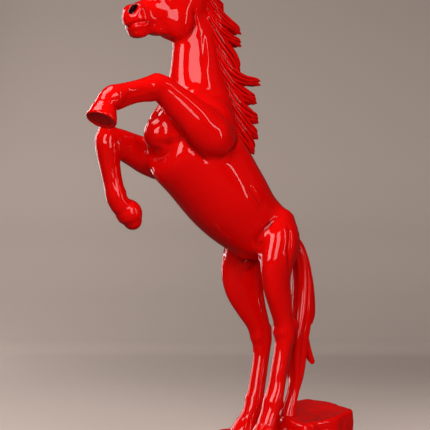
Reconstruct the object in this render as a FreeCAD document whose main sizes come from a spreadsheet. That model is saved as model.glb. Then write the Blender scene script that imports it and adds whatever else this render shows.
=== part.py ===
import FreeCAD, Part
import math
import os
import re

from FreeCAD import Placement, Rotation, Vector

# Rearing horse on a rock, a cast resin statue half a metre tall.
# The horse faces -X, its left side is -Y and up is +Z. The origin is the middle of the underside.
# Lengths are in millimetres and angles in degrees.

SIZES = {
    # Fits and cuts that the pieces share
    "seat_gap": 0.3,
    "cutting_block": 700,
    "overrun": 30,
    "cast_wall": 5,
    # Stand
    "base_length": 210,
    "base_width": 92,
    "pad_thickness": 2,
    "pad_inset": 4,
    "plate_thickness": 3,
    "plate_inset": 1.5,
    "rock_wall": 7,
    "near_ledge_height": 28,
    "far_ledge_height": 33,
    "rim_height": 40,
    "crag_height": 54,
    "crag_climb": 4,
    "crag_lean": 5,
    "rod_boss_width": 24,
    "rod_boss_lift": 9,
    "rock_taper": 3,
    "screw_boss_width": 12,
    "hollow_inset": 9,
    "ballast_clearance": 2,
    "ballast_height": 26,
    # Fastenings under the stand
    "screw_width": 4,
    "screw_length": 12,
    "screw_head_width": 8,
    "screw_head_height": 2,
    "screw_drive_width": 2.5,
    "screw_drive_depth": 1.4,
    "nut_width": 10,
    "nut_height": 4,
    "washer_width": 15,
    "washer_height": 1.2,
    # Steel inside the casting
    "rod_width": 6,
    "rod_bend": 18,
    "rod_tail": 1.5,
    "rod_stance": 21,
    "rod_foot_drop": 12,
    "rod_foot_rise": 6,
    "crossbar_width": 8,
    "crossbar_length": 66,
    "spine_rod_width": 8,
    "spine_rod_bend": 45,
    "dowel_width": 5,
    "dowel_length": 34,
    # Trunk and neck
    "hip_setback": 12,
    "hip_height": 238,
    "trunk_reach": 150,
    "trunk_rise": 100,
    "trunk_depth": 98,
    "trunk_width": 74,
    "neck_rise": 124,
    "neck_depth": 76,
    "neck_width": 48,
    # Head
    "head_length": 100,
    "head_depth": 58,
    "head_width": 37,
    "ear_length": 28,
    "ear_depth": 13,
    "ear_width": 10,
    "ear_spread": 11,
    "cheek_depth": 48,
    "cheek_width": 22,
    "eye_width": 11,
    "eye_height": 9,
    "nostril_width": 4,
    "nostril_length": 8,
    "nostril_depth": 5,
    "nostril_pitch": 25,
    "nostril_turn": 25,
    # Legs
    "hind_stance": 20,
    "hind_turn": 20,
    "thigh_depth": 58,
    "thigh_width": 36,
    "fore_stance": 33,
    "forearm_length": 80,
    "forearm_depth": 44,
    "forearm_width": 36,
    "cannon_length": 70,
    "cannon_depth": 21,
    "cannon_width": 20,
    "shoulder_length": 60,
    "shoulder_depth": 54,
    "shoulder_width": 32,
    "shoulder_pitch": 20,
    "breast_length": 44,
    "breast_depth": 30,
    "breast_width": 30,
    "breast_pitch": 25,
    # Mane and tail
    "crest_depth": 23,
    "crest_width": 17,
    "lock_depth": 18,
    "lock_width": 14,
    "tail_depth": 26,
    "tail_width": 20,
    "tail_setback": 21,
}

doc = FreeCAD.newDocument("RearingHorse")
sheet = doc.addObject("Spreadsheet::Sheet", "Sizes")
for row, (alias, number) in enumerate(SIZES.items(), 1):
    sheet.set(f"A{row}", alias)
    sheet.set(f"B{row}", str(number))
    sheet.setAlias(f"B{row}", alias)
doc.recompute()

UP = Vector(0, 0, 1)
SIDEWAYS = Vector(0, 1, 0)
LEFT = -1
RIGHT = 1
nodes = []


def size(expression):
    """The value of an expression in the sheet's names."""
    return float(sheet.evalExpression(expression))


def linked(expression):
    """The expression as another object writes it, with the sheet's name before each size."""
    return re.sub(r"[a-z_]+", r"Sizes.\g<0>", expression)


def add(kind, name, at=None, rotation=None, **sizes):
    """A new object at a place, each of its sizes bound to an expression of the sheet's names."""
    item = doc.addObject(kind, name)
    for key, expression in sizes.items():
        item.setExpression(key, linked(expression))
    item.Placement = Placement(at or Vector(), rotation or Rotation())
    return item


def fused(name, pieces):
    """The union of the pieces. The faces of crossing lofts are left as they meet."""
    whole = doc.addObject("Part::MultiFuse", name)
    whole.Shapes = pieces
    whole.Refine = False
    return whole


def cut(name, base, *tools):
    """The base less one tool or several."""
    less = doc.addObject("Part::Cut", name)
    less.Base = base
    less.Tool = tools[0] if len(tools) == 1 else fused(f"{name}_tools", list(tools))
    return less


def shared(name, base, tool):
    both = doc.addObject("Part::Common", name)
    both.Base = base
    both.Tool = tool
    return both


def keep(label, item):
    """Marks the object as a sub-part, which is written to its own file."""
    item.Label = label
    nodes.append(item)
    return item


def facing(direction):
    """The turn that brings +Z to the direction."""
    return Rotation(UP, direction)


def block(name, at, direction):
    """Half of space, as far as the figure goes: all that lies past a place in one direction."""
    turn = facing(direction)
    middle = size("cutting_block / 2")
    corner = at + turn.multVec(Vector(-middle, -middle, 0))
    side = "cutting_block"
    return add("Part::Box", name, corner, turn, Length=side, Width=side, Height=side)


def stations(table, start, reach, rise, stance, depth, width, side=RIGHT):
    """Sections of a limb as (place, half depth, half width), from a table of shares.
    Each row has the shares of reach forward, stance sideways, rise upward, depth and width."""
    places = []
    for forward, outward, upward, deep, wide in table:
        offset = Vector(-size(reach) * forward, side * size(stance) * outward, size(rise) * upward)
        places.append((start + offset, f"{depth} * {deep} / 2", f"{width} * {wide} / 2"))
    return places


def ring(name, at, along, turn, deep, wide):
    """An elliptical section square to the limb. Its edge starts at the front, whichever way is longer."""
    outward = Rotation(UP, turn).multVec(SIDEWAYS)
    front = outward.cross(along).normalize()
    outward = along.cross(front)
    if size(wide) > size(deep):
        section = add("Part::Ellipse", name, at, Rotation(outward, -front, along, "ZXY"),
                      MajorRadius=wide, MinorRadius=deep)
        section.Angle1 = 270
        section.Angle2 = 270
    else:
        section = add("Part::Ellipse", name, at, Rotation(front, outward, along, "ZXY"),
                      MajorRadius=deep, MinorRadius=wide)
    return section


def limb(name, places, turn=0, grow=""):
    """A solid lofted smoothly through its sections, each one grown by the same amount."""
    rings = []
    for index, (at, deep, wide) in enumerate(places):
        ahead = places[min(index + 1, len(places) - 1)][0]
        behind = places[max(index - 1, 0)][0]
        along = (ahead - behind).normalize()
        rings.append(ring(f"{name}_ring{index}", at, along, turn, deep + grow, wide + grow))
    solid = doc.addObject("Part::Loft", name)
    solid.Sections = rings
    solid.Solid = True
    return solid


def muscle(name, at, forward, across, upward, pitch=0, yaw=0, grow=""):
    """An ellipsoid with three half sizes, pitched about the sideways axis and then turned about +Z."""
    turn = Rotation(UP, yaw) * Rotation(SIDEWAYS, pitch)
    return add("Part::Ellipsoid", name, at, turn, Radius2=forward + grow, Radius3=across + grow,
               Radius1=upward + grow)


def bent_wire(name, points, bend):
    """A path of straight runs joined by tangent arcs."""
    edges = []
    reached = points[0]
    for before, corner, after in zip(points, points[1:], points[2:]):
        back = (before - corner).normalize()
        onward = (after - corner).normalize()
        half_angle = back.getAngle(onward) / 2
        setback = bend / math.tan(half_angle)
        middle = (back + onward).normalize()
        centre = corner + middle * (bend / math.sin(half_angle))
        start = corner + back * setback
        end = corner + onward * setback
        edges.append(Part.LineSegment(reached, start).toShape())
        edges.append(Part.Arc(start, centre - middle * bend, end).toShape())
        reached = end
    edges.append(Part.LineSegment(reached, points[-1]).toShape())
    path = doc.addObject("Part::Feature", name)
    path.Shape = Part.Wire(edges)
    return path


def rod(name, path, width, grow=""):
    """A round bar swept along a path."""
    start = path.Shape.Edges[0]
    direction = start.tangentAt(start.FirstParameter)
    section = add("Part::Circle", f"{name}_section", start.valueAt(start.FirstParameter),
                  facing(direction), Radius=f"{width} / 2{grow}")
    bar = doc.addObject("Part::Sweep", name)
    bar.Sections = [section]
    bar.Spine = (path, [f"Edge{number + 1}" for number in range(len(path.Shape.Edges))])
    bar.Solid = True
    bar.Frenet = False
    return bar


# Skeleton places that several pieces share
hip = Vector(size("hip_setback"), 0, size("hip_height"))
plate_top = size("pad_thickness + plate_thickness")
NECK_ROOT_SHARES = (0.587, 0.890)
POLL_SHARES = (0.121, 1.000)
neck_root = hip + Vector(-size("trunk_reach") * NECK_ROOT_SHARES[0], 0,
                         size("trunk_rise") * NECK_ROOT_SHARES[1])
poll = neck_root + Vector(-POLL_SHARES[0], 0, POLL_SHARES[1]) * size("neck_rise")

# Trunk, from the dock of the tail to the breast
TRUNK_SHARES = (
    (-0.147, 0, -0.160, 0.204, 0.270),
    (-0.080, 0, -0.090, 0.408, 0.649),
    (0.040, 0, -0.020, 0.592, 0.838),
    (0.220, 0, 0.120, 0.745, 0.851),
    (0.407, 0, 0.362, 0.888, 0.986),
    (0.620, 0, 0.688, 0.939, 0.946),
    (0.813, 0, 0.850, 0.837, 0.838),
    (0.940, 0, 0.960, 0.571, 0.649),
    (1.007, 0, 0.990, 0.286, 0.351),
    (1.023, 0, 1.005, 0.102, 0.135),
)
trunk_places = stations(TRUNK_SHARES, hip, "trunk_reach", "trunk_rise", "hind_stance",
                        "trunk_depth", "trunk_width")
trunk = limb("trunk", trunk_places)
trunk_seat = limb("trunk_seat", trunk_places, grow=" + seat_gap")
trunk_hollow = limb("trunk_hollow", trunk_places[1:-1], grow=" - cast_wall")

# Neck, from inside the shoulders to the poll. It is jointed just under the throat, square to itself
NECK_JOINT_ROW = 4
NECK_SHARES = (
    (0.000, 0, 0.000, 0.895, 0.833),
    (0.048, 0, 0.226, 1.000, 1.000),
    (0.081, 0, 0.371, 0.895, 0.833),
    (0.089, 0, 0.565, 0.763, 0.667),
    (0.105, 0, 0.806, 0.579, 0.542),
    (0.121, 0, 1.000, 0.447, 0.458),
)
neck_places = stations(NECK_SHARES, neck_root, "neck_rise", "neck_rise", "hind_stance",
                       "neck_depth", "neck_width")
neck = limb("neck", neck_places)
neck_seat = limb("neck_seat", neck_places, grow=" + seat_gap")
neck_hollow = limb("neck_hollow", neck_places[:NECK_JOINT_ROW], grow=" - cast_wall")

# Head, from the poll to the lips
HEAD_SHARES = (
    (-0.120, 0, 0.200, 0.276, 0.324),
    (-0.050, 0, 0.150, 0.621, 0.649),
    (0.050, 0, 0.080, 0.931, 0.919),
    (0.190, 0, 0.000, 0.983, 0.973),
    (0.360, 0, -0.070, 0.862, 0.865),
    (0.510, 0, -0.130, 0.690, 0.703),
    (0.640, 0, -0.175, 0.569, 0.676),
    (0.735, 0, -0.190, 0.466, 0.638),
    (0.795, 0, -0.185, 0.276, 0.459),
)
head_places = stations(HEAD_SHARES, poll, "head_length", "head_length", "hind_stance",
                       "head_depth", "head_width")
# Hind legs, from inside the pelvis to below the hoof
LEFT_HIND_SHARES = (
    (0.030, 1.000, 1.057, 0.655, 0.667),
    (0.043, 1.100, 1.000, 0.862, 0.889),
    (0.067, 1.250, 0.933, 0.897, 0.917),
    (0.090, 1.300, 0.857, 0.828, 0.778),
    (0.088, 1.275, 0.771, 0.724, 0.639),
    (0.062, 1.200, 0.681, 0.569, 0.572),
    (0.033, 1.125, 0.595, 0.441, 0.544),
    (0.019, 1.100, 0.529, 0.407, 0.544),
    (0.036, 1.075, 0.448, 0.331, 0.489),
    (0.060, 1.050, 0.352, 0.283, 0.478),
    (0.071, 1.025, 0.267, 0.297, 0.511),
    (0.090, 1.000, 0.210, 0.324, 0.544),
    (0.114, 1.000, 0.148, 0.283, 0.489),
    (0.138, 1.000, 0.090, 0.352, 0.583),
    (0.176, 1.000, -0.029, 0.500, 0.750),
)
RIGHT_HIND_SHARES = (
    (0.000, 1.000, 1.059, 0.655, 0.667),
    (0.010, 1.100, 0.995, 0.862, 0.889),
    (0.044, 1.250, 0.912, 0.914, 0.917),
    (0.078, 1.300, 0.824, 0.828, 0.778),
    (0.078, 1.275, 0.732, 0.724, 0.639),
    (0.044, 1.200, 0.639, 0.569, 0.583),
    (0.000, 1.125, 0.546, 0.421, 0.544),
    (-0.022, 1.100, 0.473, 0.366, 0.522),
    (-0.017, 1.075, 0.405, 0.290, 0.456),
    (0.000, 1.050, 0.322, 0.262, 0.444),
    (0.020, 1.025, 0.239, 0.276, 0.478),
    (0.039, 1.000, 0.176, 0.303, 0.511),
    (0.063, 1.000, 0.122, 0.269, 0.456),
    (0.088, 1.000, 0.068, 0.338, 0.567),
    (0.122, 1.000, -0.029, 0.466, 0.722),
)
HIND_JOINT_ROW = 4
HIND_HOCK_ROW = 7
HIND_FETLOCK_ROW = 11
HIND_FOOT_ROW = 13


def heading(places, row):
    """The direction of a limb at one of its places."""
    return (places[row + 1][0] - places[row - 1][0]).normalize()


def hind_leg(name, table, ledge, side):
    """The stub that stays with the body, the leg below it and the leg's places.
    The sole is level with the ledge that it stands on."""
    rise = f"(hip_height - {ledge})"
    foot = Vector(hip.x, 0, size(ledge))
    places = stations(table, foot, rise, rise, "hind_stance", "thigh_depth", "thigh_width", side)
    whole = limb(f"{name}_whole", places, -side * size("hind_turn"))
    on_ledge = cut(f"{name}_on_ledge", whole, block(f"{name}_under", foot, -UP))
    beyond = block(f"{name}_beyond", places[HIND_JOINT_ROW][0], heading(places, HIND_JOINT_ROW))
    return cut(f"{name}_stub", on_ledge, beyond), shared(f"{name}_form", on_ledge, beyond), places


left_thigh, left_shank, left_hind_places = hind_leg(
    "left_hind", LEFT_HIND_SHARES, "near_ledge_height", LEFT)
right_thigh, right_shank, right_hind_places = hind_leg(
    "right_hind", RIGHT_HIND_SHARES, "far_ledge_height", RIGHT)

# Forelegs, each a forearm and a cannon that are lofted apart because the knee is sharply bent
LEFT_ELBOW_SHARES = (0.756, 0.947)
LEFT_FOREARM_SHARES = (
    (-0.143, 0.939, -0.084, 0.864, 0.889),
    (0.000, 0.970, 0.000, 0.977, 0.972),
    (0.157, 1.000, 0.110, 0.932, 0.917),
    (0.326, 0.970, 0.237, 0.818, 0.833),
    (0.475, 0.939, 0.354, 0.705, 0.750),
    (0.607, 0.909, 0.450, 0.614, 0.694),
    (0.682, 0.909, 0.504, 0.455, 0.556),
)
LEFT_CANNON_SHARES = (
    (-0.057, 0.909, 0.019, 0.952, 1.000),
    (0.086, 0.909, 0.019, 1.048, 1.100),
    (0.186, 0.909, 0.013, 1.000, 1.050),
    (0.371, 0.909, -0.017, 0.857, 0.860),
    (0.571, 0.909, -0.067, 0.857, 0.860),
    (0.757, 0.909, -0.129, 0.981, 0.980),
    (0.871, 0.909, -0.189, 0.981, 0.980),
    (0.943, 0.924, -0.289, 0.981, 1.030),
    (0.993, 0.985, -0.439, 1.362, 1.300),
)
RIGHT_ELBOW_SHARES = (0.879, 0.714)
RIGHT_FOREARM_SHARES = (
    (-0.199, 1.030, -0.055, 0.773, 0.889),
    (0.000, 1.030, 0.014, 0.786, 0.889),
    (0.157, 1.000, 0.070, 0.727, 0.806),
    (0.314, 0.970, 0.120, 0.668, 0.739),
    (0.468, 0.939, 0.168, 0.614, 0.667),
    (0.589, 0.909, 0.205, 0.545, 0.611),
    (0.657, 0.909, 0.233, 0.318, 0.389),
)
RIGHT_CANNON_SHARES = (
    (0.034, 0.909, 0.077, 0.857, 0.900),
    (0.034, 0.909, -0.066, 1.095, 1.150),
    (0.026, 0.909, -0.237, 0.981, 1.000),
    (-0.007, 0.909, -0.409, 0.838, 0.840),
    (-0.039, 0.909, -0.570, 0.838, 0.840),
    (-0.093, 0.909, -0.729, 0.952, 0.960),
    (-0.161, 0.909, -0.851, 0.876, 0.900),
    (-0.244, 0.909, -0.954, 1.000, 1.000),
    (-0.371, 0.909, -1.066, 1.238, 1.200),
    (-0.471, 0.909, -1.144, 0.857, 0.900),
)

FORE_JOINT_ROW = 2
KNEE_ROW = 5


def foreleg(name, elbow_shares, forearm_table, cannon_table, side):
    """The stub that stays with the body, the leg beyond it and the places along the forearm."""
    forward, upward = elbow_shares
    elbow = hip + Vector(-size("trunk_reach") * forward, 0, size("trunk_rise") * upward)
    places = stations(forearm_table, elbow, "forearm_length", "forearm_length", "fore_stance",
                      "forearm_depth", "forearm_width", side)
    knee = places[KNEE_ROW][0]
    cannon_places = stations(cannon_table, Vector(knee.x, 0, knee.z), "cannon_length", "cannon_length",
                             "fore_stance", "cannon_depth", "cannon_width", side)
    forearm = limb(f"{name}_forearm", places)
    beyond = block(f"{name}_beyond", places[FORE_JOINT_ROW][0], heading(places, FORE_JOINT_ROW))
    lower = shared(f"{name}_lower", forearm, beyond)
    leg = fused(f"{name}_form", [lower, limb(f"{name}_cannon", cannon_places)])
    return cut(f"{name}_stub", forearm, beyond), leg, places


left_arm, left_fore_form, left_fore_places = foreleg(
    "left_fore", LEFT_ELBOW_SHARES, LEFT_FOREARM_SHARES, LEFT_CANNON_SHARES, LEFT)
right_arm, right_fore_form, right_fore_places = foreleg(
    "right_fore", RIGHT_ELBOW_SHARES, RIGHT_FOREARM_SHARES, RIGHT_CANNON_SHARES, RIGHT)

# Muscle masses of the shoulders and the breast
LEFT_SHOULDER_SHARES = (0.667, 0.700, 0.990)
RIGHT_SHOULDER_SHARES = (0.713, 0.700, 0.920)
BREAST_SHARES = (0.880, 0.410, 0.900)


def at_trunk(shares, side):
    """A place from its shares of the trunk's reach, the forelegs' stance and the trunk's rise."""
    forward, outward, upward = shares
    return hip + Vector(-size("trunk_reach") * forward, side * size("fore_stance") * outward,
                        size("trunk_rise") * upward)


def fore_masses(name, shares, side, grow=""):
    """The shoulder and the breast of one side, each grown by the same amount."""
    return [
        muscle(f"{name}_shoulder", at_trunk(shares, side), "shoulder_length / 2", "shoulder_width / 2",
               "shoulder_depth / 2", pitch=size("shoulder_pitch"), grow=grow),
        muscle(f"{name}_breast", at_trunk(BREAST_SHARES, side), "breast_depth / 2", "breast_width / 2",
               "breast_length / 2", pitch=-size("breast_pitch"), grow=grow)]


masses = fore_masses("left", LEFT_SHOULDER_SHARES, LEFT) + fore_masses("right", RIGHT_SHOULDER_SHARES, RIGHT)
left_arm_seats = fore_masses("left_seat", LEFT_SHOULDER_SHARES, LEFT, " + seat_gap")
right_arm_seats = fore_masses("right_seat", RIGHT_SHOULDER_SHARES, RIGHT, " + seat_gap")

# Mane, a crest with locks that stream back from it
CREST_SHARES = (
    (0.073, 0, 1.210, 0.80, 0.90),
    (0.040, 0, 1.030, 0.90, 0.95),
    (-0.024, 0, 0.850, 0.95, 1.00),
    (-0.105, 0, 0.650, 1.00, 1.00),
    (-0.160, 0, 0.440, 1.00, 1.00),
    (-0.220, 0, 0.240, 0.95, 0.95),
    (-0.310, 0, 0.080, 0.70, 0.80),
)
# Each lock has its root and its tip, both backward and upward as shares of the neck, and its thickness
LOCK_SHARES = (
    (-0.081, 1.218, 0.113, 1.290, 0.80),
    (-0.056, 1.129, 0.194, 1.153, 0.90),
    (-0.032, 1.032, 0.170, 1.034, 0.85),
    (0.008, 0.952, 0.347, 0.879, 1.00),
    (0.040, 0.831, 0.347, 0.776, 0.90),
    (0.081, 0.710, 0.335, 0.597, 1.25),
    (0.129, 0.573, 0.552, 0.490, 0.95),
    (0.161, 0.436, 0.516, 0.344, 1.00),
    (0.194, 0.298, 0.536, 0.185, 0.95),
    (0.258, 0.185, 0.536, 0.056, 0.95),
    (0.306, 0.073, 0.484, -0.081, 0.90),
)
LOCK_SPAN_SHARES = ((0.12, 0.80, 0.85), (0.30, 0.98, 0.90), (0.55, 0.90, 0.75), (0.82, 0.60, 0.50),
                    (1.00, 0.20, 0.20))
LOCK_BOW_SHARE = 0.10


def lock(name, start, end, thickness):
    """A lock that bows upward from its root and tapers to its tip."""
    run = end - start
    bow = run.cross(SIDEWAYS)
    if bow.z < 0:
        bow = -bow
    places = []
    for along, deep, wide in LOCK_SPAN_SHARES:
        lift = bow * (4 * LOCK_BOW_SHARE * along * (1 - along))
        places.append((start + run * along + lift, f"lock_depth * {deep * thickness} / 2",
                       f"lock_width * {wide * thickness} / 2"))
    return limb(name, places)


crest_places = stations(CREST_SHARES, neck_root, "neck_rise", "neck_rise", "hind_stance",
                        "crest_depth", "crest_width")
mane_locks = [limb("crest", crest_places)]
for number, (back, up, tip_back, tip_up, thickness) in enumerate(LOCK_SHARES, 1):
    reach = size("neck_rise")
    mane_locks.append(lock(f"mane_lock{number}", neck_root + Vector(back, 0, up) * reach,
                           neck_root + Vector(tip_back, 0, tip_up) * reach, thickness))

# Head with its cheeks and eyes, and the nostrils cut into it
CHEEK_SHARES = (0.250, 0.220, -0.100)
EYE_SHARES = (0.370, 0.400, 0.100)
NOSTRIL_SHARES = (0.715, 0.340, -0.095)


def at_head(shares, side):
    """A place from its shares of the head's length, its width and again its length."""
    forward, outward, upward = shares
    length = size("head_length")
    return poll + Vector(-length * forward, side * size("head_width") * outward, length * upward)


def head_masses(name, grow=""):
    """The head with both cheeks, each grown by the same amount."""
    pieces = [limb(f"{name}_skull", head_places, grow=grow)]
    for side, word in ((LEFT, "left"), (RIGHT, "right")):
        pieces.append(muscle(f"{name}_{word}_cheek", at_head(CHEEK_SHARES, side), "cheek_depth / 2",
                             "cheek_width / 2", "cheek_depth / 2", grow=grow))
        pieces.append(muscle(f"{name}_{word}_eye", at_head(EYE_SHARES, side), "eye_width / 2",
                             "eye_width / 2", "eye_height / 2", grow=grow))
    return fused(name, pieces)


head_form = head_masses("head_form")
head_seat = head_masses("head_seat", " + seat_gap")
nostrils = [muscle(f"{word}_nostril", at_head(NOSTRIL_SHARES, side), "nostril_width / 2",
                   "nostril_depth", "nostril_length / 2", pitch=-size("nostril_pitch"),
                   yaw=-side * size("nostril_turn")) for side, word in ((LEFT, "left"), (RIGHT, "right"))]

# The neck parted at its joint
neck_above = block("neck_above", neck_places[NECK_JOINT_ROW][0], heading(neck_places, NECK_JOINT_ROW))
neck_stub = cut("neck_stub", neck, neck_above)
neck_top = shared("neck_top", neck, neck_above)

# Tail, a main lock that stands on the rock and two that part from it
TAIL_SHARES = (
    (-0.016, 0, 0.955, 0.538, 0.700),
    (-0.060, 0, 0.895, 0.654, 0.800),
    (-0.095, 0, 0.800, 0.769, 0.950),
    (-0.106, 0, 0.675, 0.846, 1.000),
    (-0.092, 0, 0.522, 0.885, 1.000),
    (-0.071, 0, 0.386, 0.846, 0.900),
    (-0.065, 0, 0.234, 0.785, 0.800),
    (-0.054, 0, 0.174, 0.577, 0.700),
    (-0.027, 0, 0.098, 0.485, 0.600),
    (-0.005, 0, 0.022, 0.615, 0.750),
    (0.011, 0, -0.065, 0.885, 1.000),
)
UPPER_LOCK_SHARES = (
    (-0.125, 0, 0.821, 0.308, 0.400),
    (-0.147, 0, 0.723, 0.462, 0.600),
    (-0.163, 0, 0.603, 0.423, 0.500),
    (-0.158, 0, 0.484, 0.154, 0.200),
)
LOWER_LOCK_SHARES = (
    (-0.103, 0, 0.620, 0.308, 0.400),
    (-0.125, 0, 0.505, 0.423, 0.500),
    (-0.152, 0, 0.380, 0.346, 0.400),
    (-0.196, 0, 0.261, 0.138, 0.180),
)
TAIL_ROD_ROWS = (6, 3, 1)
tail_foot = Vector(hip.x + size("tail_setback"), 0, size("crag_height"))
tail_rise = "(hip_height - crag_height)"


def tail_stations(table):
    return stations(table, tail_foot, tail_rise, tail_rise, "hind_stance", "tail_depth", "tail_width")


tail_places = tail_stations(TAIL_SHARES)
tail_whole = limb("tail_whole", tail_places)
tail_seat = limb("tail_seat", tail_places, grow=" + seat_gap")

# Rock: a low shelf, a higher ledge with a rim beside it and a crag behind, each a flat-topped tier.
# Corners are shares of the stand's length and width, counterclockwise from the front.
SHELF_SHARES = ((-0.50, -0.12), (-0.44, -0.40), (-0.22, -0.50), (0.08, -0.47), (0.31, -0.485),
                (0.475, -0.35), (0.50, 0.05), (0.455, 0.40), (0.20, 0.50), (-0.10, 0.47), (-0.36, 0.50),
                (-0.47, 0.25))
LEDGE_SHARES = ((-0.34, 0.06), (-0.22, 0.02), (0.12, 0.018), (0.14, 0.40), (-0.08, 0.43), (-0.32, 0.42))
RIM_SHARES = ((-0.20, 0.420), (0.00, 0.415), (0.13, 0.415), (0.14, 0.46), (-0.10, 0.475), (-0.22, 0.455))
CRAG_SHARES = ((0.076, -0.445), (0.29, -0.465), (0.462, -0.33), (0.49, 0.05), (0.45, 0.375),
               (0.20, 0.47), (0.08, 0.44), (0.10, 0.00))


def tier(name, shares, bottom, top, inset="0", taper="0"):
    """A faceted lump between two heights, its corners drawn in by an inset, and at the top by a taper."""
    corners = [Vector(size("base_length") * x, size("base_width") * y, 0) for x, y in shares]
    centre = sum(corners, Vector()) * (1 / len(corners))
    rings = []
    for word, level, less in (("foot", bottom, inset), ("head", top, f"{inset} + {taper}")):
        outline = doc.addObject("Part::Polygon", f"{name}_{word}")
        outline.Nodes = [corner - (corner - centre).normalize() * size(less) + UP * level
                         for corner in corners]
        outline.Close = True
        rings.append(outline)
    lump = doc.addObject("Part::Loft", name)
    lump.Sections = rings
    lump.Solid = True
    lump.Ruled = True
    return lump


crag_slope = Rotation(SIDEWAYS, -size("crag_climb")) * Rotation(Vector(1, 0, 0), size("crag_lean"))
crag_top = crag_slope.multVec(UP)


def crag(name, inset, top):
    """The crag, its top a plane that climbs backward and leans up to the right."""
    lump = tier(name, CRAG_SHARES, plate_top, size("crag_height + overrun"), inset)
    return cut(f"{name}_sloped", lump, block(f"{name}_above", top, crag_top))


wall = size("rock_wall")
shelf_top = size("near_ledge_height")
ledge_top = size("far_ledge_height")
shelf = tier("shelf", SHELF_SHARES, plate_top, shelf_top, taper="rock_taper")
ledge = tier("ledge", LEDGE_SHARES, plate_top, ledge_top)
rim = tier("rim", RIM_SHARES, plate_top, size("rim_height"))
crag_lump = crag("crag", "0", tail_foot)
rock_hollow = fused("rock_hollow", [
    tier("shelf_hollow", SHELF_SHARES, 0, shelf_top - wall, "hollow_inset"),
    crag("crag_hollow", "hollow_inset", tail_foot - UP * wall)])

# Bosses in the rock, and what is bolted and screwed up into it from below
SCREW_SHARES = ((-0.40, -0.20), (-0.06, -0.40), (0.38, -0.34), (0.40, 0.26), (0.04, 0.38), (-0.36, 0.28))
boss_bottom = plate_top + size("rod_boss_lift")
rod_bottom = boss_bottom - size("washer_height + nut_height + rod_tail")


def leg_rod_points(places, side):
    """Straight up through the stand and the hoof, then along the leg to the crossbar at the hips."""
    out = side * size("rod_stance")
    foot = places[HIND_FOOT_ROW][0]
    points = [Vector(foot.x, out, rod_bottom), Vector(foot.x, out, foot.z - size("rod_foot_drop"))]
    for row in (HIND_FETLOCK_ROW, HIND_HOCK_ROW, HIND_JOINT_ROW):
        points.append(Vector(places[row][0].x, out, places[row][0].z))
    return points + [Vector(hip.x, out, hip.z)]


def tail_rod_points():
    """Straight up through the crag and the tail's foot, then along the tail and into the croup."""
    points = [Vector(tail_foot.x, 0, rod_bottom), tail_foot + UP * size("rod_foot_rise")]
    points += [tail_places[row][0] for row in TAIL_ROD_ROWS]
    return points + [hip]


rod_points = {
    "left_hind": leg_rod_points(left_hind_places, LEFT),
    "right_hind": leg_rod_points(right_hind_places, RIGHT),
    "tail": tail_rod_points(),
}
rod_tops = {"left_hind": "near_ledge_height", "right_hind": "far_ledge_height", "tail": "crag_height"}
boss_foot = "(pad_thickness + plate_thickness + rod_boss_lift)"
bosses = []
rod_bores = {}
for word, points in rod_points.items():
    path = bent_wire(f"{word}_rod_path", points, size("rod_bend"))
    bar = rod(f"{word}_rod_bar", path, "rod_width")
    rod_bores[word] = rod(f"{word}_rod_bore", path, "rod_width", " + seat_gap")
    crossbar_seat = add("Part::Cylinder", f"{word}_rod_cope", hip - SIDEWAYS * size("crossbar_length / 2"),
                        facing(SIDEWAYS), Radius="crossbar_width / 2 + seat_gap", Height="crossbar_length")
    keep(f"{word}_rod", cut(f"{word}_rod", bar, crossbar_seat))
    foot = Vector(points[0].x, points[0].y, 0)
    bosses.append(add("Part::Cylinder", f"{word}_rod_boss", foot + UP * boss_bottom,
                      Radius="rod_boss_width / 2", Height=f"{rod_tops[word]} - rock_wall / 2 - {boss_foot}"))
    washer_at = foot + UP * (boss_bottom - size("washer_height"))
    nut_at = washer_at - UP * size("nut_height")
    washer = add("Part::Cylinder", f"{word}_washer_blank", washer_at, Radius="washer_width / 2",
                 Height="washer_height")
    nut = add("Part::Prism", f"{word}_nut_blank", nut_at, Circumradius="nut_width / 2", Height="nut_height")
    bore = add("Part::Cylinder", f"{word}_fastening_bore", nut_at, Radius="rod_width / 2 + seat_gap",
               Height="nut_height + washer_height")
    keep(f"{word}_rod_washer", cut(f"{word}_rod_washer", washer, bore))
    keep(f"{word}_rod_nut", cut(f"{word}_rod_nut", nut, bore))

# Base plate, its screws and the pad under it
screw_places = [Vector(size("base_length") * x, size("base_width") * y, size("pad_thickness"))
                for x, y in SCREW_SHARES]


def screw_form(name, at, grow=""):
    """A countersunk head, flush with what it is sunk into, and its shank."""
    head = add("Part::Cone", f"{name}_head", at, Radius1=f"screw_head_width / 2{grow}",
               Radius2=f"screw_width / 2{grow}", Height="screw_head_height")
    shank = add("Part::Cylinder", f"{name}_shank", at, Radius=f"screw_width / 2{grow}",
                Height=f"screw_length{grow}")
    return fused(name, [head, shank])


screw_boss_height = "near_ledge_height - rock_wall / 2 - pad_thickness - plate_thickness"
screw_bores = []
screw_bosses = []
for number, at in enumerate(screw_places, 1):
    drive = add("Part::Prism", f"screw_drive{number}", at, Circumradius="screw_drive_width / 2",
                Height="screw_drive_depth")
    keep(f"base_screw_{number}", cut(f"base_screw_{number}", screw_form(f"screw{number}", at), drive))
    screw_bores.append(screw_form(f"screw_bore{number}", at, " + seat_gap"))
    screw_bosses.append(add("Part::Cylinder", f"screw_boss{number}", Vector(at.x, at.y, plate_top),
                            Radius="screw_boss_width / 2", Height=screw_boss_height))

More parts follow.
